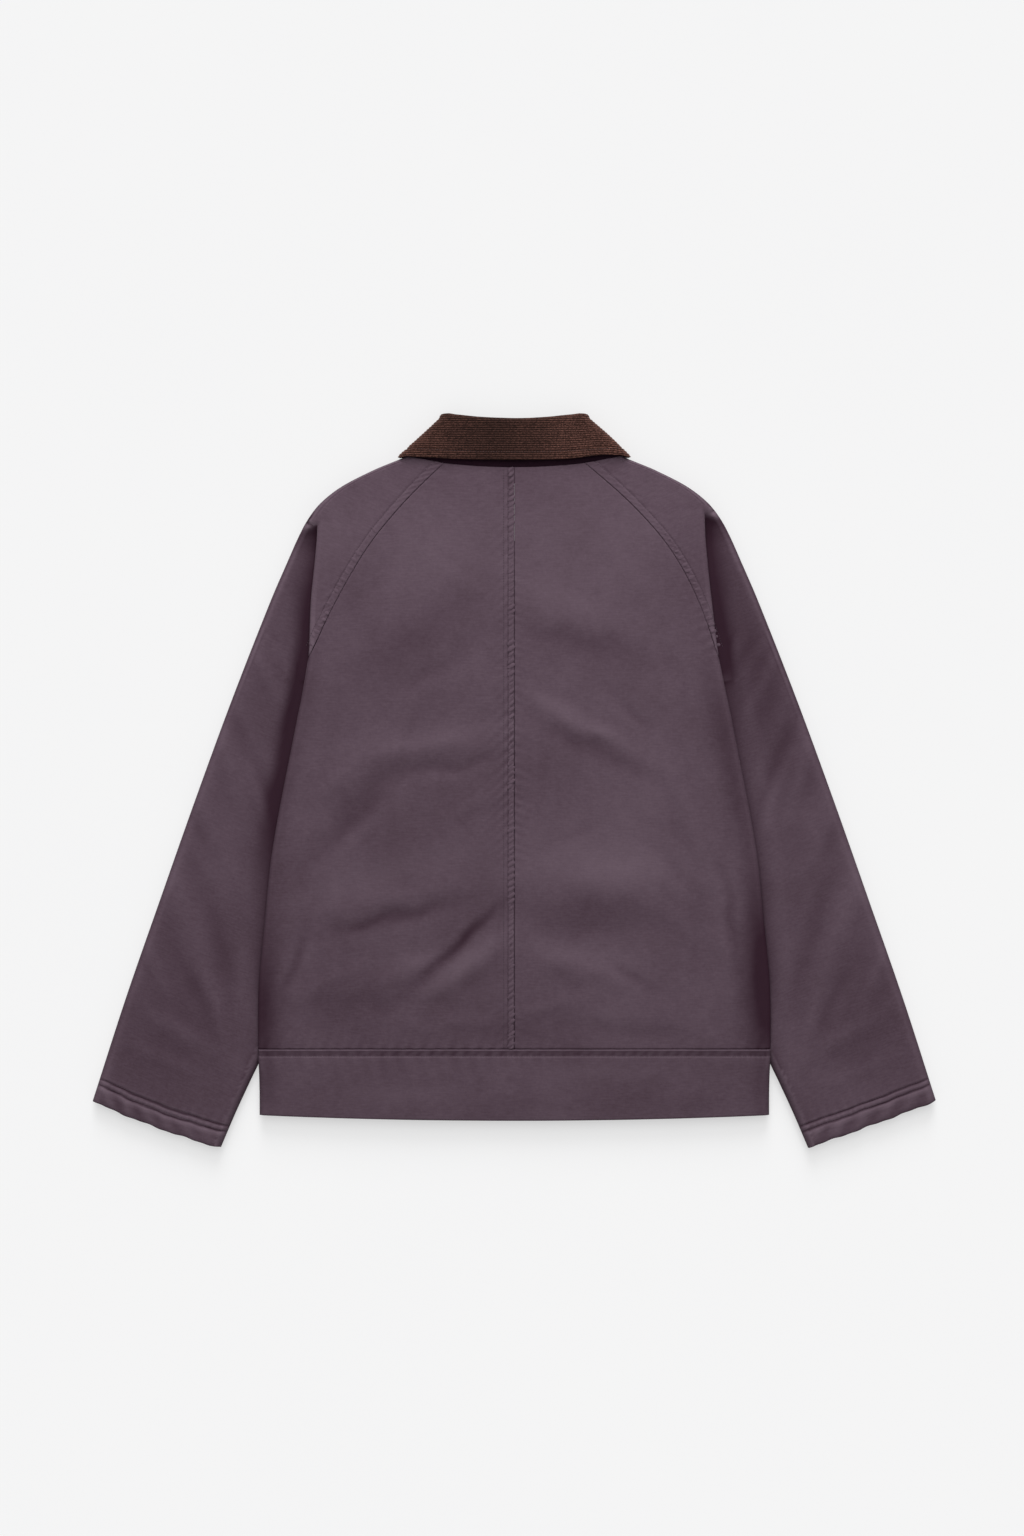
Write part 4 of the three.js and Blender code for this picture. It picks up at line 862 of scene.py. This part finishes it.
def corduroy_leaf(per_wale=6, leaf_wales=17):
    places = np.concatenate([np.linspace(0, 1, 26), np.linspace(1, 2, 15)[1:], np.linspace(2, 3, 42)[1:]])
    up, out = collar_ways(places)
    roll, edge = collar_line(ROLL_LINE, places), collar_line(LEAF_EDGE, places)
    middle = roll - COLLAR_ROLL * up
    rows, phases = [], []
    roll_wales = COLLAR_ROLL * COLLAR_TURN / WALE
    for k in np.arange(-round(roll_wales * per_wale), 0):
        a = -k / per_wale * WALE / COLLAR_ROLL
        rows.append(middle + COLLAR_ROLL * (math.sin(a) * out + math.cos(a) * up))
        phases.append(k / per_wale)
    for k in range(leaf_wales * per_wale + 1):
        rows.append(lerp(roll, edge, k / (leaf_wales * per_wale)))
        phases.append(k / per_wale)
    half = np.array(rows)[::-1]
    phase = np.array(phases)[::-1, None]
    top, low = ROLL_LINE["side"][1], LEAF_EDGE["side"][1]
    level = (top - np.clip(half[..., 1], None, roll[:, 1])) * leaf_wales / (top - low)
    level = np.where(phase < 0, (top - roll[:, 1]) * leaf_wales / (top - low) + phase, level)
    straight = lerp(level, phase + 0 * level, smooth(places - 1))
    straight = np.concatenate([straight[:, :0:-1], straight], axis=1)
    whole = np.concatenate([half[:, :0:-1] * [-1, 1, 1], half], axis=1)
    lifted = np.exp(-(((whole[..., 0] - 90) / 24) ** 2)) * np.clip(phase / leaf_wales, 0, 1)
    whole[..., 1] += 2.6 * lifted
    wx, wy = whole[..., 0], whole[..., 1]
    wale = 0.5 + 0.5 * np.cos(2 * math.pi * straight)
    from_edge = (leaf_wales - phase) * WALE
    height = WALE_HEIGHT * (wale**0.7 - 1)
    height = height + 0.4 * rough(wx, wy, 34, 5.5) + 0.1 * rough(wx * 0.6, wy, 4, 8.1)
    height = height - 0.55 * np.exp(-(((from_edge - 8.4) / 1.0) ** 2)) - 0.9 * np.exp(-from_edge / 0.8)
    height = height + 0.22 * np.exp(-np.abs(from_edge - 8.4) / 6) * waver(wx, 10.5, 3.3)
    points = whole + facing(whole) * height[..., None]
    bm = bmesh.new()
    lay_grid(bm, points, np.broadcast_to(wale, wx.shape))
    grain_uv(bm, 0.0)
    piece = as_object(bm, "collar_leaf")
    wall = piece.modifiers.new("thickness", "SOLIDIFY")
    wall.thickness = COLLAR_CLOTH * MM
    wall.offset = -1
    return piece


collar = corduroy_leaf()
print("collar:", len(collar.data.polygons), "faces")

# %% [markdown]
# ## The sides that lie on the surface
#
# The fronts, the under sides of the sleeves and the collar stand lie underneath and show only
# from low down or from below. Their solids already have the right shape, so each is a copy of
# its solid, with its triangles joined into four-sided faces and rounded by a subdivision surface.
# The edges of the cloth are creased first, so that they stay crisp.

# %% Rounded copies of the solids underneath
STAND_TUCK = {"back": 17.0, "down": 2.6, "above": 9.0, "below": 336.0, "within": 80.0}


def tuck_stand(bm):
    """The stand's lower edge is sewn inside the back, so it reaches under the neck's edge."""
    for vert in bm.verts:
        x, y, z = vert.co / MM
        if z > STAND_TUCK["above"] and y < STAND_TUCK["below"] and abs(x) < STAND_TUCK["within"]:
            vert.co.y -= STAND_TUCK["back"] * MM
            vert.co.z -= STAND_TUCK["down"] * MM


def rounded_copy(node, grain=0.0, levels=1):
    bm = bmesh.new()
    bm.from_mesh(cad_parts[node].data)
    bmesh.ops.remove_doubles(bm, verts=bm.verts, dist=0.01 * MM)
    bmesh.ops.join_triangles(bm, faces=bm.faces, angle_face_threshold=0.9, angle_shape_threshold=1.2)
    if node == "collar_stand":
        tuck_stand(bm)
    crease = bm.edges.layers.float.get("crease_edge") or bm.edges.layers.float.new("crease_edge")
    for edge in bm.edges:
        if len(edge.link_faces) == 2 and edge.calc_face_angle() > math.radians(50):
            edge[crease] = 1.0
    rub_and_shade_level = bm.verts.layers.float.new("rub_and_shade")
    for vert in bm.verts:
        vert[rub_and_shade_level] = 0.5
    grain_uv(bm, grain)
    piece = as_object(bm, f"{node}_cloth")
    rounding = piece.modifiers.new("rounding", "SUBSURF")
    rounding.levels = levels
    rounding.render_levels = levels
    return piece


UNDERSIDES = {
    "front_left": 0.0, "front_right": 0.0, "hem_band_front_left": 0.0, "hem_band_front_right": 0.0,
    "sleeve_front_left": -SLEEVE_TURN, "sleeve_front_right": SLEEVE_TURN, "collar_stand": 0.0,
}
undersides = {node: rounded_copy(node, grain) for node, grain in UNDERSIDES.items()}
print("undersides:", ", ".join(undersides))

# %% [markdown]
# ## Topstitching
#
# The seams are topstitched in thread that nearly matches the cloth. Each stitch is a small rounded
# bead of thread, a few dozen to a hand's width. We walk along each line, drop every stitch on to
# the cloth below it, and turn it along the line. A stitch has only twenty faces, because there
# are so many of them.
#
# The same walk drops puffs of cloth between two rows, where the thread draws the seam together.
# They are wide, low and slanted, uneven in size, and most of each puff is sunk in the cloth.

# %% Stitches
STITCH = {"pitch": 2.7, "length": 2.0, "width": 0.64, "height": 0.5, "rise": 0.06, "slant": 0, "uneven": 0}
RAGLAN_PUFF = {"pitch": 7.6, "length": 6.6, "width": 4.0, "height": 1.3, "rise": -0.3, "slant": 78,
               "uneven": 0.45}
RAGLAN_PUFFS_BELOW = 268  # the upper part of the raglan strips is flat
PUFF = {"pitch": 6.3, "length": 8.0, "width": 4.0, "height": 1.5, "rise": -0.3, "slant": -48, "uneven": 0.35}

BEAD_WEAR = 0.56  # a stitch or puff is rubbed a little paler than the cloth
LEAST_GROWN = 0.55  # an uneven puff's size, as a share of the usual one
MOST_GROWN = 1.2


def surface_of(pieces):
    graph = bpy.context.evaluated_depsgraph_get()
    return [BVHTree.FromObject(piece, graph) for piece in pieces]


def walk(line, pitch):
    """Even steps along a line of points in millimetres."""
    line = np.asarray(line, float)
    steps = np.linalg.norm(np.diff(line, axis=0), axis=1)
    length = np.concatenate([[0], np.cumsum(steps)])
    at = np.arange(pitch / 2, length[-1], pitch)
    return np.column_stack([np.interp(at, length, line[:, k]) for k in range(2)])


def sewn_rows(name, lines, pieces, kind=STITCH, faces=1):
    """Rounded beads along lines, dropped on to the pieces: stitches, or the puffs between them."""
    trees = surface_of(pieces)
    bm = bmesh.new()
    rub_and_shade_level = bm.verts.layers.float.new("rub_and_shade")
    for line in lines:
        spots = walk(line, kind["pitch"])
        for k, (x, y) in enumerate(spots):
            chance = noise.noise((0.021 * (x + y), 0.4 * k, 4.4)) + 0.5 * noise.noise((0.9 * k, 3.1, 7.7))
            y = y + 1.2 * kind["uneven"] * noise.noise((1.7 * k, 0.3, 9.2)) * kind["pitch"]
            hits = [tree.ray_cast(Vector((x * MM, y * MM, 0.1)), Vector((0, 0, -1))) for tree in trees]
            hits = [hit for hit in hits if hit[0] is not None]
            if not hits:
                continue
            place, normal, _, _ = min(hits, key=lambda hit: hit[3])
            ahead = spots[min(k + 1, len(spots) - 1)] - spots[max(k - 1, 0)]
            along = Vector((ahead[0], ahead[1], 0)).normalized()
            along = (along - normal * along.dot(normal)).normalized()
            turn = Matrix((along, normal.cross(along), normal)).transposed().to_4x4()
            turn = turn @ Matrix.Rotation(math.radians(kind["slant"] * (1 + 0.3 * chance)), 4, "Z")
            grown = min(max(1 + 1.6 * kind["uneven"] * chance, LEAST_GROWN), MOST_GROWN)
            half = [grown * kind[word] * MM / 2 for word in ("length", "width", "height")]
            size = Matrix.Diagonal([*half, 1])
            seat = Matrix.Translation(place + normal * kind["rise"] * grown * MM)
            made = bmesh.ops.create_icosphere(bm, subdivisions=faces, radius=1, matrix=seat @ turn @ size)
            for vert in made["verts"]:
                vert[rub_and_shade_level] = BEAD_WEAR
    return as_object(bm, name)


def mirrored(line, sign):
    return np.asarray(line) * [sign, 1]


def raglan_row(side, offset):
    y = np.linspace(UNDERARM_FOLD_Y + 8, NECK_Y["raglan"] - 3, 60)
    x = raglan_x(side, y)
    dx, dy = np.gradient(x), np.gradient(y)
    length = np.hypot(dx, dy)
    return mirrored(np.column_stack([x + offset * dy / length, y - offset * dx / length]), side["sign"])


def cuff_row(side, up):
    share = np.linspace(0, 1, 30)
    start = np.array([CUFF["inner_x"], CUFF["inner_y"]])
    low = (cuff_sag(side, share) - up)[:, None] * CUFF_DOWN
    lean = np.column_stack([-0.1 * up * (1 - share), 0 * share])
    return mirrored(start + CUFF_LINE * (0.01 + 0.98 * share[:, None]) + low + lean, side["sign"])


# %% The rows of topstitching
body = [*backs.values(), band, *sleeves.values()]
middle_y = np.linspace(BAND_SEAM_Y + 1, NECK_Y["middle"] - 2, 40)
middle_rows = [np.column_stack([0 * middle_y - MIDDLE_ROW - more, middle_y]) for more in (0, 4.6)]
band_x = np.linspace(-266, 266, 60)
band_row = [np.column_stack([band_x, 0 * band_x + BAND_SEAM_Y - BAND_ROW])]
leaf_x = np.linspace(-112, 112, 60)
leaf_row = [np.column_stack([leaf_x, 345 + 4.3 * (leaf_x / 112) ** 2])]
raglan_rows = [raglan_row(side, RAGLAN_ROW) for side in SIDES]
stitches = {
    "stitches_back": sewn_rows("stitches_back", middle_rows, body),
    "stitches_raglan": sewn_rows("stitches_raglan", raglan_rows, body),
    "stitches_band": sewn_rows("stitches_band", band_row, body),
    "stitches_collar": sewn_rows("stitches_collar", leaf_row, [collar]),
}
for side in SIDES:
    name = f"stitches_cuff_{side['name']}"
    stitches[name] = sewn_rows(name, [cuff_row(side, up) for up in CUFF_ROWS], body)
puff_line = [np.column_stack([0 * middle_y - 0.52 * MIDDLE_ROW, middle_y])]
puffs = {"puckers_back": sewn_rows("puckers_back", puff_line, [backs["left"]], PUFF, faces=3)}
raglan_puffs = []
for side in SIDES:
    strip = np.asarray(raglan_row(side, 0.5 * RAGLAN_ROW), float)
    raglan_puffs.append(strip[strip[:, 1] < RAGLAN_PUFFS_BELOW])
puffs["puckers_raglan"] = sewn_rows("puckers_raglan", raglan_puffs, body, RAGLAN_PUFF, faces=3)
print("stitches:", sum(len(piece.data.polygons) // 20 for piece in stitches.values()))

# %% [markdown]
# ## Materials
#
# Waxed cotton is a tight plain weave soaked in wax. The wax fills the weave, so the cloth is
# nearly smooth with a dull gloss, it darkens unevenly where there is more wax, and it turns
# paler where it is rubbed. Painted shade in furrows, folds and along edges, painted highlights
# on some ridges and a painted falloff of the light towards the hem are in its colour too.
# Corduroy is the opposite: a pile with no gloss, paler on the tops of its wales and almost black
# between them, which is painted shade.

# %% Colours and one helper for nodes
def srgb(hex_colour):
    """An sRGB hex colour as the linear colour that Blender's shaders use."""
    parts = [int(hex_colour[i : i + 2], 16) / 255 for i in (1, 3, 5)]
    linear = [p / 12.92 if p <= 0.04045 else ((p + 0.055) / 1.055) ** 2.4 for p in parts]
    return (*linear, 1.0)


def add(tree, kind, inputs=None, **settings):
    """A node with its settings; an input is a value, or the output that is linked to it."""
    made = tree.nodes.new(kind)
    for name, value in settings.items():
        setattr(made, name, value)
    for socket, value in (inputs or {}).items():
        if isinstance(value, bpy.types.NodeSocket):
            tree.links.new(value, made.inputs[socket])
        else:
            made.inputs[socket].default_value = value
    return made


def lumps(tree, place, scale, detail, roughness):
    """A noise texture; a higher scale makes finer lumps."""
    chosen = {"Vector": place, "Scale": scale, "Detail": detail, "Roughness": roughness}
    return add(tree, "ShaderNodeTexNoise", chosen)


def new_material(name):
    material = bpy.data.materials.new(name)
    material.use_nodes = True
    tree = material.node_tree
    return material, tree, tree.nodes["Principled BSDF"]


# %% Waxed cotton
THREAD = 0.9 * MM  # real threads are about 0.45 mm apart, too fine to show here


def waxed_cotton(name, painted_shade, dark, mid, pale, rubbed, roughness=0.66):
    material, tree, shader = new_material(name)
    place = add(tree, "ShaderNodeTexCoord").outputs["Object"]
    grain = add(tree, "ShaderNodeUVMap", uv_map="grain").outputs["UV"]
    patches = lumps(tree, place, 11.0, 3.0, 0.6)
    flecks = lumps(tree, place, 330.0, 3.0, 0.7)
    drawn = add(tree, "ShaderNodeMapping", {"Vector": grain, "Scale": (0.16, 1.0, 1.0)}).outputs["Vector"]
    slubs = lumps(tree, drawn, 620.0, 2.0, 0.6)
    specks = add(tree, "ShaderNodeMix", {0: 0.5, 2: flecks.outputs["Fac"], 3: slubs.outputs["Fac"]})
    mixed = add(tree, "ShaderNodeMix", {0: 0.6, 2: patches.outputs["Fac"], 3: specks.outputs[0]})
    tones = add(tree, "ShaderNodeValToRGB", {"Fac": mixed.outputs[0]})
    tones.color_ramp.elements[0].position = 0.38
    tones.color_ramp.elements[0].color = srgb(dark)
    tones.color_ramp.elements[1].position = 0.62
    tones.color_ramp.elements[1].color = srgb(pale)
    tones.color_ramp.elements.new(0.5).color = srgb(mid)
    # Above a half, the number on each point moves the colour towards the pale colour, for rubbed wax and
    # painted highlight; below a half, towards the painted shade colour of furrows and shaded places.
    rub_and_shade_level = add(tree, "ShaderNodeAttribute", attribute_name="rub_and_shade").outputs["Fac"]
    rub_and_highlight = add(tree, "ShaderNodeMapRange", {"Value": rub_and_shade_level, 1: 0.5, 2: 1.0, 3: 0.0, 4: 0.55})
    shade_amount = add(tree, "ShaderNodeMapRange", {"Value": rub_and_shade_level, 1: 0.0, 2: 0.5, 3: 1.0, 4: 0.0})
    # Painted light falloff: the colour is slightly darker towards the hem and lighter towards the collar, the
    # side the light comes from.
    height = add(tree, "ShaderNodeSeparateXYZ", {"Vector": place}).outputs["Y"]
    light_falloff = add(tree, "ShaderNodeMapRange", {"Value": height, 1: -0.34, 2: 0.33, 3: 0.0, 4: 1.0})
    low = add(tree, "ShaderNodeMix", {0: shade_amount.outputs[0], 6: tones.outputs["Color"], 7: srgb(painted_shade)},
              data_type="RGBA")
    high = add(tree, "ShaderNodeMix", {0: rub_and_highlight.outputs[0], 6: low.outputs[2], 7: srgb(rubbed)},
               data_type="RGBA")
    colour = add(tree, "ShaderNodeMix", {0: light_falloff.outputs[0], 6: srgb("#ededed"), 7: srgb("#ffffff")},
                 data_type="RGBA")
    colour = add(tree, "ShaderNodeMix", {0: 1.0, 6: high.outputs[2], 7: colour.outputs[2]}, data_type="RGBA",
                 blend_type="MULTIPLY")
    scale = 2 * math.pi / 20 / THREAD
    warp = add(tree, "ShaderNodeTexWave", {"Vector": grain, "Scale": scale, "Distortion": 1.2, "Detail": 1.0,
                                           "Detail Scale": 0.4}, bands_direction="X")
    weft = add(tree, "ShaderNodeTexWave", {"Vector": grain, "Scale": scale, "Distortion": 1.2, "Detail": 1.0,
                                           "Detail Scale": 0.4}, bands_direction="Y")
    weave = add(tree, "ShaderNodeMath", {0: warp.outputs["Fac"], 1: weft.outputs["Fac"]}, operation="ADD")
    crumple = lumps(tree, place, 75.0, 4.0, 0.62)
    threads = add(tree, "ShaderNodeBump", {"Height": weave.outputs[0],
                                            "Strength": 0.16, "Distance": 0.12 * MM})
    bump = add(tree, "ShaderNodeBump", {"Height": crumple.outputs["Fac"], "Strength": 0.4,
                                         "Distance": 0.9 * MM,
                                        "Normal": threads.outputs["Normal"]})
    gloss = add(tree, "ShaderNodeMapRange", {"Value": patches.outputs["Fac"], 3: roughness - 0.05,
                                             4: roughness + 0.08})
    tree.links.new(colour.outputs[2], shader.inputs["Base Color"])
    tree.links.new(gloss.outputs[0], shader.inputs["Roughness"])
    tree.links.new(bump.outputs["Normal"], shader.inputs["Normal"])
    shader.inputs["IOR"].default_value = 1.45
    shader.inputs["Specular IOR Level"].default_value = 0.1
    shader.inputs["Sheen Weight"].default_value = 0.03
    shader.inputs["Sheen Roughness"].default_value = 0.5
    shader.inputs["Sheen Tint"].default_value = srgb("#b8a5b2")
    return material


# The first colour is painted shade, for furrows and shaded places; the last is rubbed wax and painted
# highlight.
shell_cloth = waxed_cotton("waxed cotton, plum", "#311c28", "#51404a", "#584752", "#5f4e59", "#82707c")
# The collar stand is the shell's own cloth; its much darker colours are painted shade under the collar.
STAND_SHADE_COLOURS = ("#12060e", "#1c0b16", "#210e1a", "#27121f", "#38222f")
stand_cloth_in_shade = waxed_cotton("waxed cotton, plum, painted shade", *STAND_SHADE_COLOURS, 0.8)


# %% Corduroy and thread
def corduroy():
    material, tree, shader = new_material("corduroy, brown cotton")
    place = add(tree, "ShaderNodeTexCoord").outputs["Object"]
    raised = add(tree, "ShaderNodeAttribute", attribute_name="rub_and_shade").outputs["Fac"]
    wale = add(tree, "ShaderNodeMapRange", {"Value": raised, 3: 0.24, 4: 0.8}).outputs[0]
    along = add(tree, "ShaderNodeMapping", {"Vector": place, "Scale": (0.8, 1.0, 1.0)}).outputs["Vector"]
    tufts = lumps(tree, along, 780.0, 3.0, 0.75)
    brushed = lumps(tree, place, 30.0, 4.0, 0.65)
    ragged = add(tree, "ShaderNodeMapRange", {"Value": tufts.outputs["Fac"], 1: 0.3, 2: 0.7, 3: -0.5, 4: 0.5})
    standing = add(tree, "ShaderNodeMath", {0: wale, 1: ragged.outputs[0]}, operation="ADD")
    # Almost black between the wales, which is painted shade, and paler on their tops.
    pile = add(tree, "ShaderNodeValToRGB", {"Fac": standing.outputs[0]})
    pile.color_ramp.elements[0].position = 0.05
    pile.color_ramp.elements[0].color = srgb("#24160f")
    pile.color_ramp.elements[1].position = 1.0
    pile.color_ramp.elements[1].color = srgb("#865b50")
    pile.color_ramp.elements.new(0.55).color = srgb("#4b312b")
    # Across the collar the colour is darker a little left of its middle and paler towards both ends.
    side = add(tree, "ShaderNodeSeparateXYZ", {"Vector": place}).outputs["X"]
    tone_across_collar = add(tree, "ShaderNodeValToRGB", {"Fac": add(tree, "ShaderNodeMapRange", {
        "Value": side, 1: -0.12, 2: 0.12, 3: 0.0, 4: 1.0}).outputs[0]})
    tone_across_collar.color_ramp.elements[0].color = srgb("#e4e4e4")
    tone_across_collar.color_ramp.elements[1].color = srgb("#ffffff")
    tone_across_collar.color_ramp.elements.new(0.42).color = srgb("#999999")
    patchy = add(tree, "ShaderNodeMapRange", {"Value": brushed.outputs["Fac"], 1: 0.3,
                                                  2: 0.7, 3: 0.72, 4: 1.08})
    toned = add(tree, "ShaderNodeMix", {0: 1.0, 6: pile.outputs["Color"], 7: tone_across_collar.outputs["Color"]},
                data_type="RGBA", blend_type="MULTIPLY")
    toned = add(tree, "ShaderNodeMix", {0: 1.0, 6: toned.outputs[2], 7: patchy.outputs[0]},
                data_type="RGBA", blend_type="MULTIPLY")
    bump = add(tree, "ShaderNodeBump", {"Height": tufts.outputs["Fac"],
                                         "Strength": 0.6, "Distance": 0.5 * MM})
    tree.links.new(toned.outputs[2], shader.inputs["Base Color"])
    tree.links.new(bump.outputs["Normal"], shader.inputs["Normal"])
    shader.inputs["Roughness"].default_value = 0.95
    shader.inputs["Specular IOR Level"].default_value = 0.15
    shader.inputs["Sheen Weight"].default_value = 0.3
    shader.inputs["Sheen Roughness"].default_value = 0.45
    shader.inputs["Sheen Tint"].default_value = srgb("#b08478")
    return material


def sewing_thread(name, colour):
    material, tree, shader = new_material(name)
    place = add(tree, "ShaderNodeTexCoord").outputs["Object"]
    twist = add(tree, "ShaderNodeTexNoise", {"Vector": place, "Scale": 1500.0, "Detail": 1.0})
    tone = add(tree, "ShaderNodeMix", {0: twist.outputs["Fac"], 6: srgb(colour), 7: srgb("#2c1d27")},
               data_type="RGBA")
    tree.links.new(tone.outputs[2], shader.inputs["Base Color"])
    shader.inputs["Roughness"].default_value = 0.6
    return material


collar_cloth = corduroy()
plum_thread = sewing_thread("polyester thread, plum", "#3f2f3a")
brown_thread = sewing_thread("polyester thread, brown", "#4a3531")

for piece in [*backs.values(), *sleeves.values(), band, *puffs.values()]:
    piece.data.materials.append(shell_cloth)
for node, piece in undersides.items():
    piece.data.materials.clear()
    piece.data.materials.append(stand_cloth_in_shade if node == "collar_stand" else shell_cloth)
collar.data.materials.append(collar_cloth)
for name, piece in stitches.items():
    piece.data.materials.append(brown_thread if name == "stitches_collar" else plum_thread)
print("materials:", ", ".join(material.name for material in bpy.data.materials))

# %% [markdown]
# ## The surface and the light
#
# Such a garment is photographed on white board under large soft lights, stronger from the
# collar's side, so its shadow falls softly below the hem and the cuffs. A sun that looks very
# wide does the same and keeps the board evenly white. A second, lower one rakes across the cloth
# and brings out its relief, a white sky fills the shadows, and the board glows a little from
# behind, as a product photographer's light table does.

# %% Floor and lights
floor_material, floor_tree, floor_shader = new_material("white board, matt")
board_place = add(floor_tree, "ShaderNodeTexCoord").outputs["Object"]
board_noise = add(floor_tree, "ShaderNodeTexNoise", {"Vector": board_place, "Scale": 3.0, "Detail": 2.0})
board_tone = add(floor_tree, "ShaderNodeMix", {0: board_noise.outputs["Fac"], 6: srgb("#a9a9aa"),
                                                7: srgb("#ababab")}, data_type="RGBA")
floor_tree.links.new(board_tone.outputs[2], floor_shader.inputs["Base Color"])
floor_shader.inputs["Roughness"].default_value = 0.9
floor_shader.inputs["Emission Color"].default_value = (1, 1, 1, 1)
floor_shader.inputs["Emission Strength"].default_value = 0.512
floor_shader.inputs["Specular IOR Level"].default_value = 0.1
bm = bmesh.new()
bmesh.ops.create_grid(bm, x_segments=8, y_segments=8, size=40.0)
bmesh.ops.translate(bm, verts=bm.verts, vec=(0, 0, -0.3 * MM))
floor = as_object(bm, "floor")
floor.data.materials.append(floor_material)


def soft_sun(name, height, turn, softness, strength):
    """Even light from the collar's side. Angles are in degrees; softness is how wide it looks."""
    data = bpy.data.lights.new(name, "SUN")
    data.energy = strength
    data.angle = math.radians(softness)
    light = bpy.data.objects.new(name, data)
    a, e = math.radians(turn), math.radians(height)
    toward = Vector((math.sin(a) * math.cos(e), math.cos(a) * math.cos(e), math.sin(e)))
    light.rotation_euler = toward.to_track_quat("Z", "Y").to_euler()
    bpy.context.collection.objects.link(light)
    return light


soft_sun("key", height=60, turn=0, softness=50, strength=1.3)
soft_sun("rake", height=24, turn=0, softness=28, strength=2.0)
soft_sun("fill", height=40, turn=180, softness=90, strength=0.25)
world = bpy.data.worlds.new("even sky")
world.use_nodes = True
world.node_tree.nodes["Background"].inputs["Color"].default_value = (1, 1, 1, 1)
world.node_tree.nodes["Background"].inputs["Strength"].default_value = 0.32
bpy.context.scene.world = world

# %% [markdown]
# ## Fitting the pieces to the frame
#
# Nothing here moves, so every piece rides on the jacket's one body. Each panel takes the place of
# its solid, which is hidden.


def fit(piece, node):
    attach(piece, "root")
    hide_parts(node)


for piece in [*stitches.values(), *puffs.values()]:
    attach(piece, "root")
for side in SIDES:
    word = side["name"]
    fit(backs[word], f"back_{word}")
    fit(sleeves[word], f"sleeve_back_{word}")
    fit(undersides[f"front_{word}"], f"front_{word}")
    fit(undersides[f"sleeve_front_{word}"], f"sleeve_front_{word}")
    fit(undersides[f"hem_band_front_{word}"], f"hem_band_front_{word}")
fit(band, "hem_band_back")
fit(collar, "collar")
fit(undersides["collar_stand"], "collar_stand")
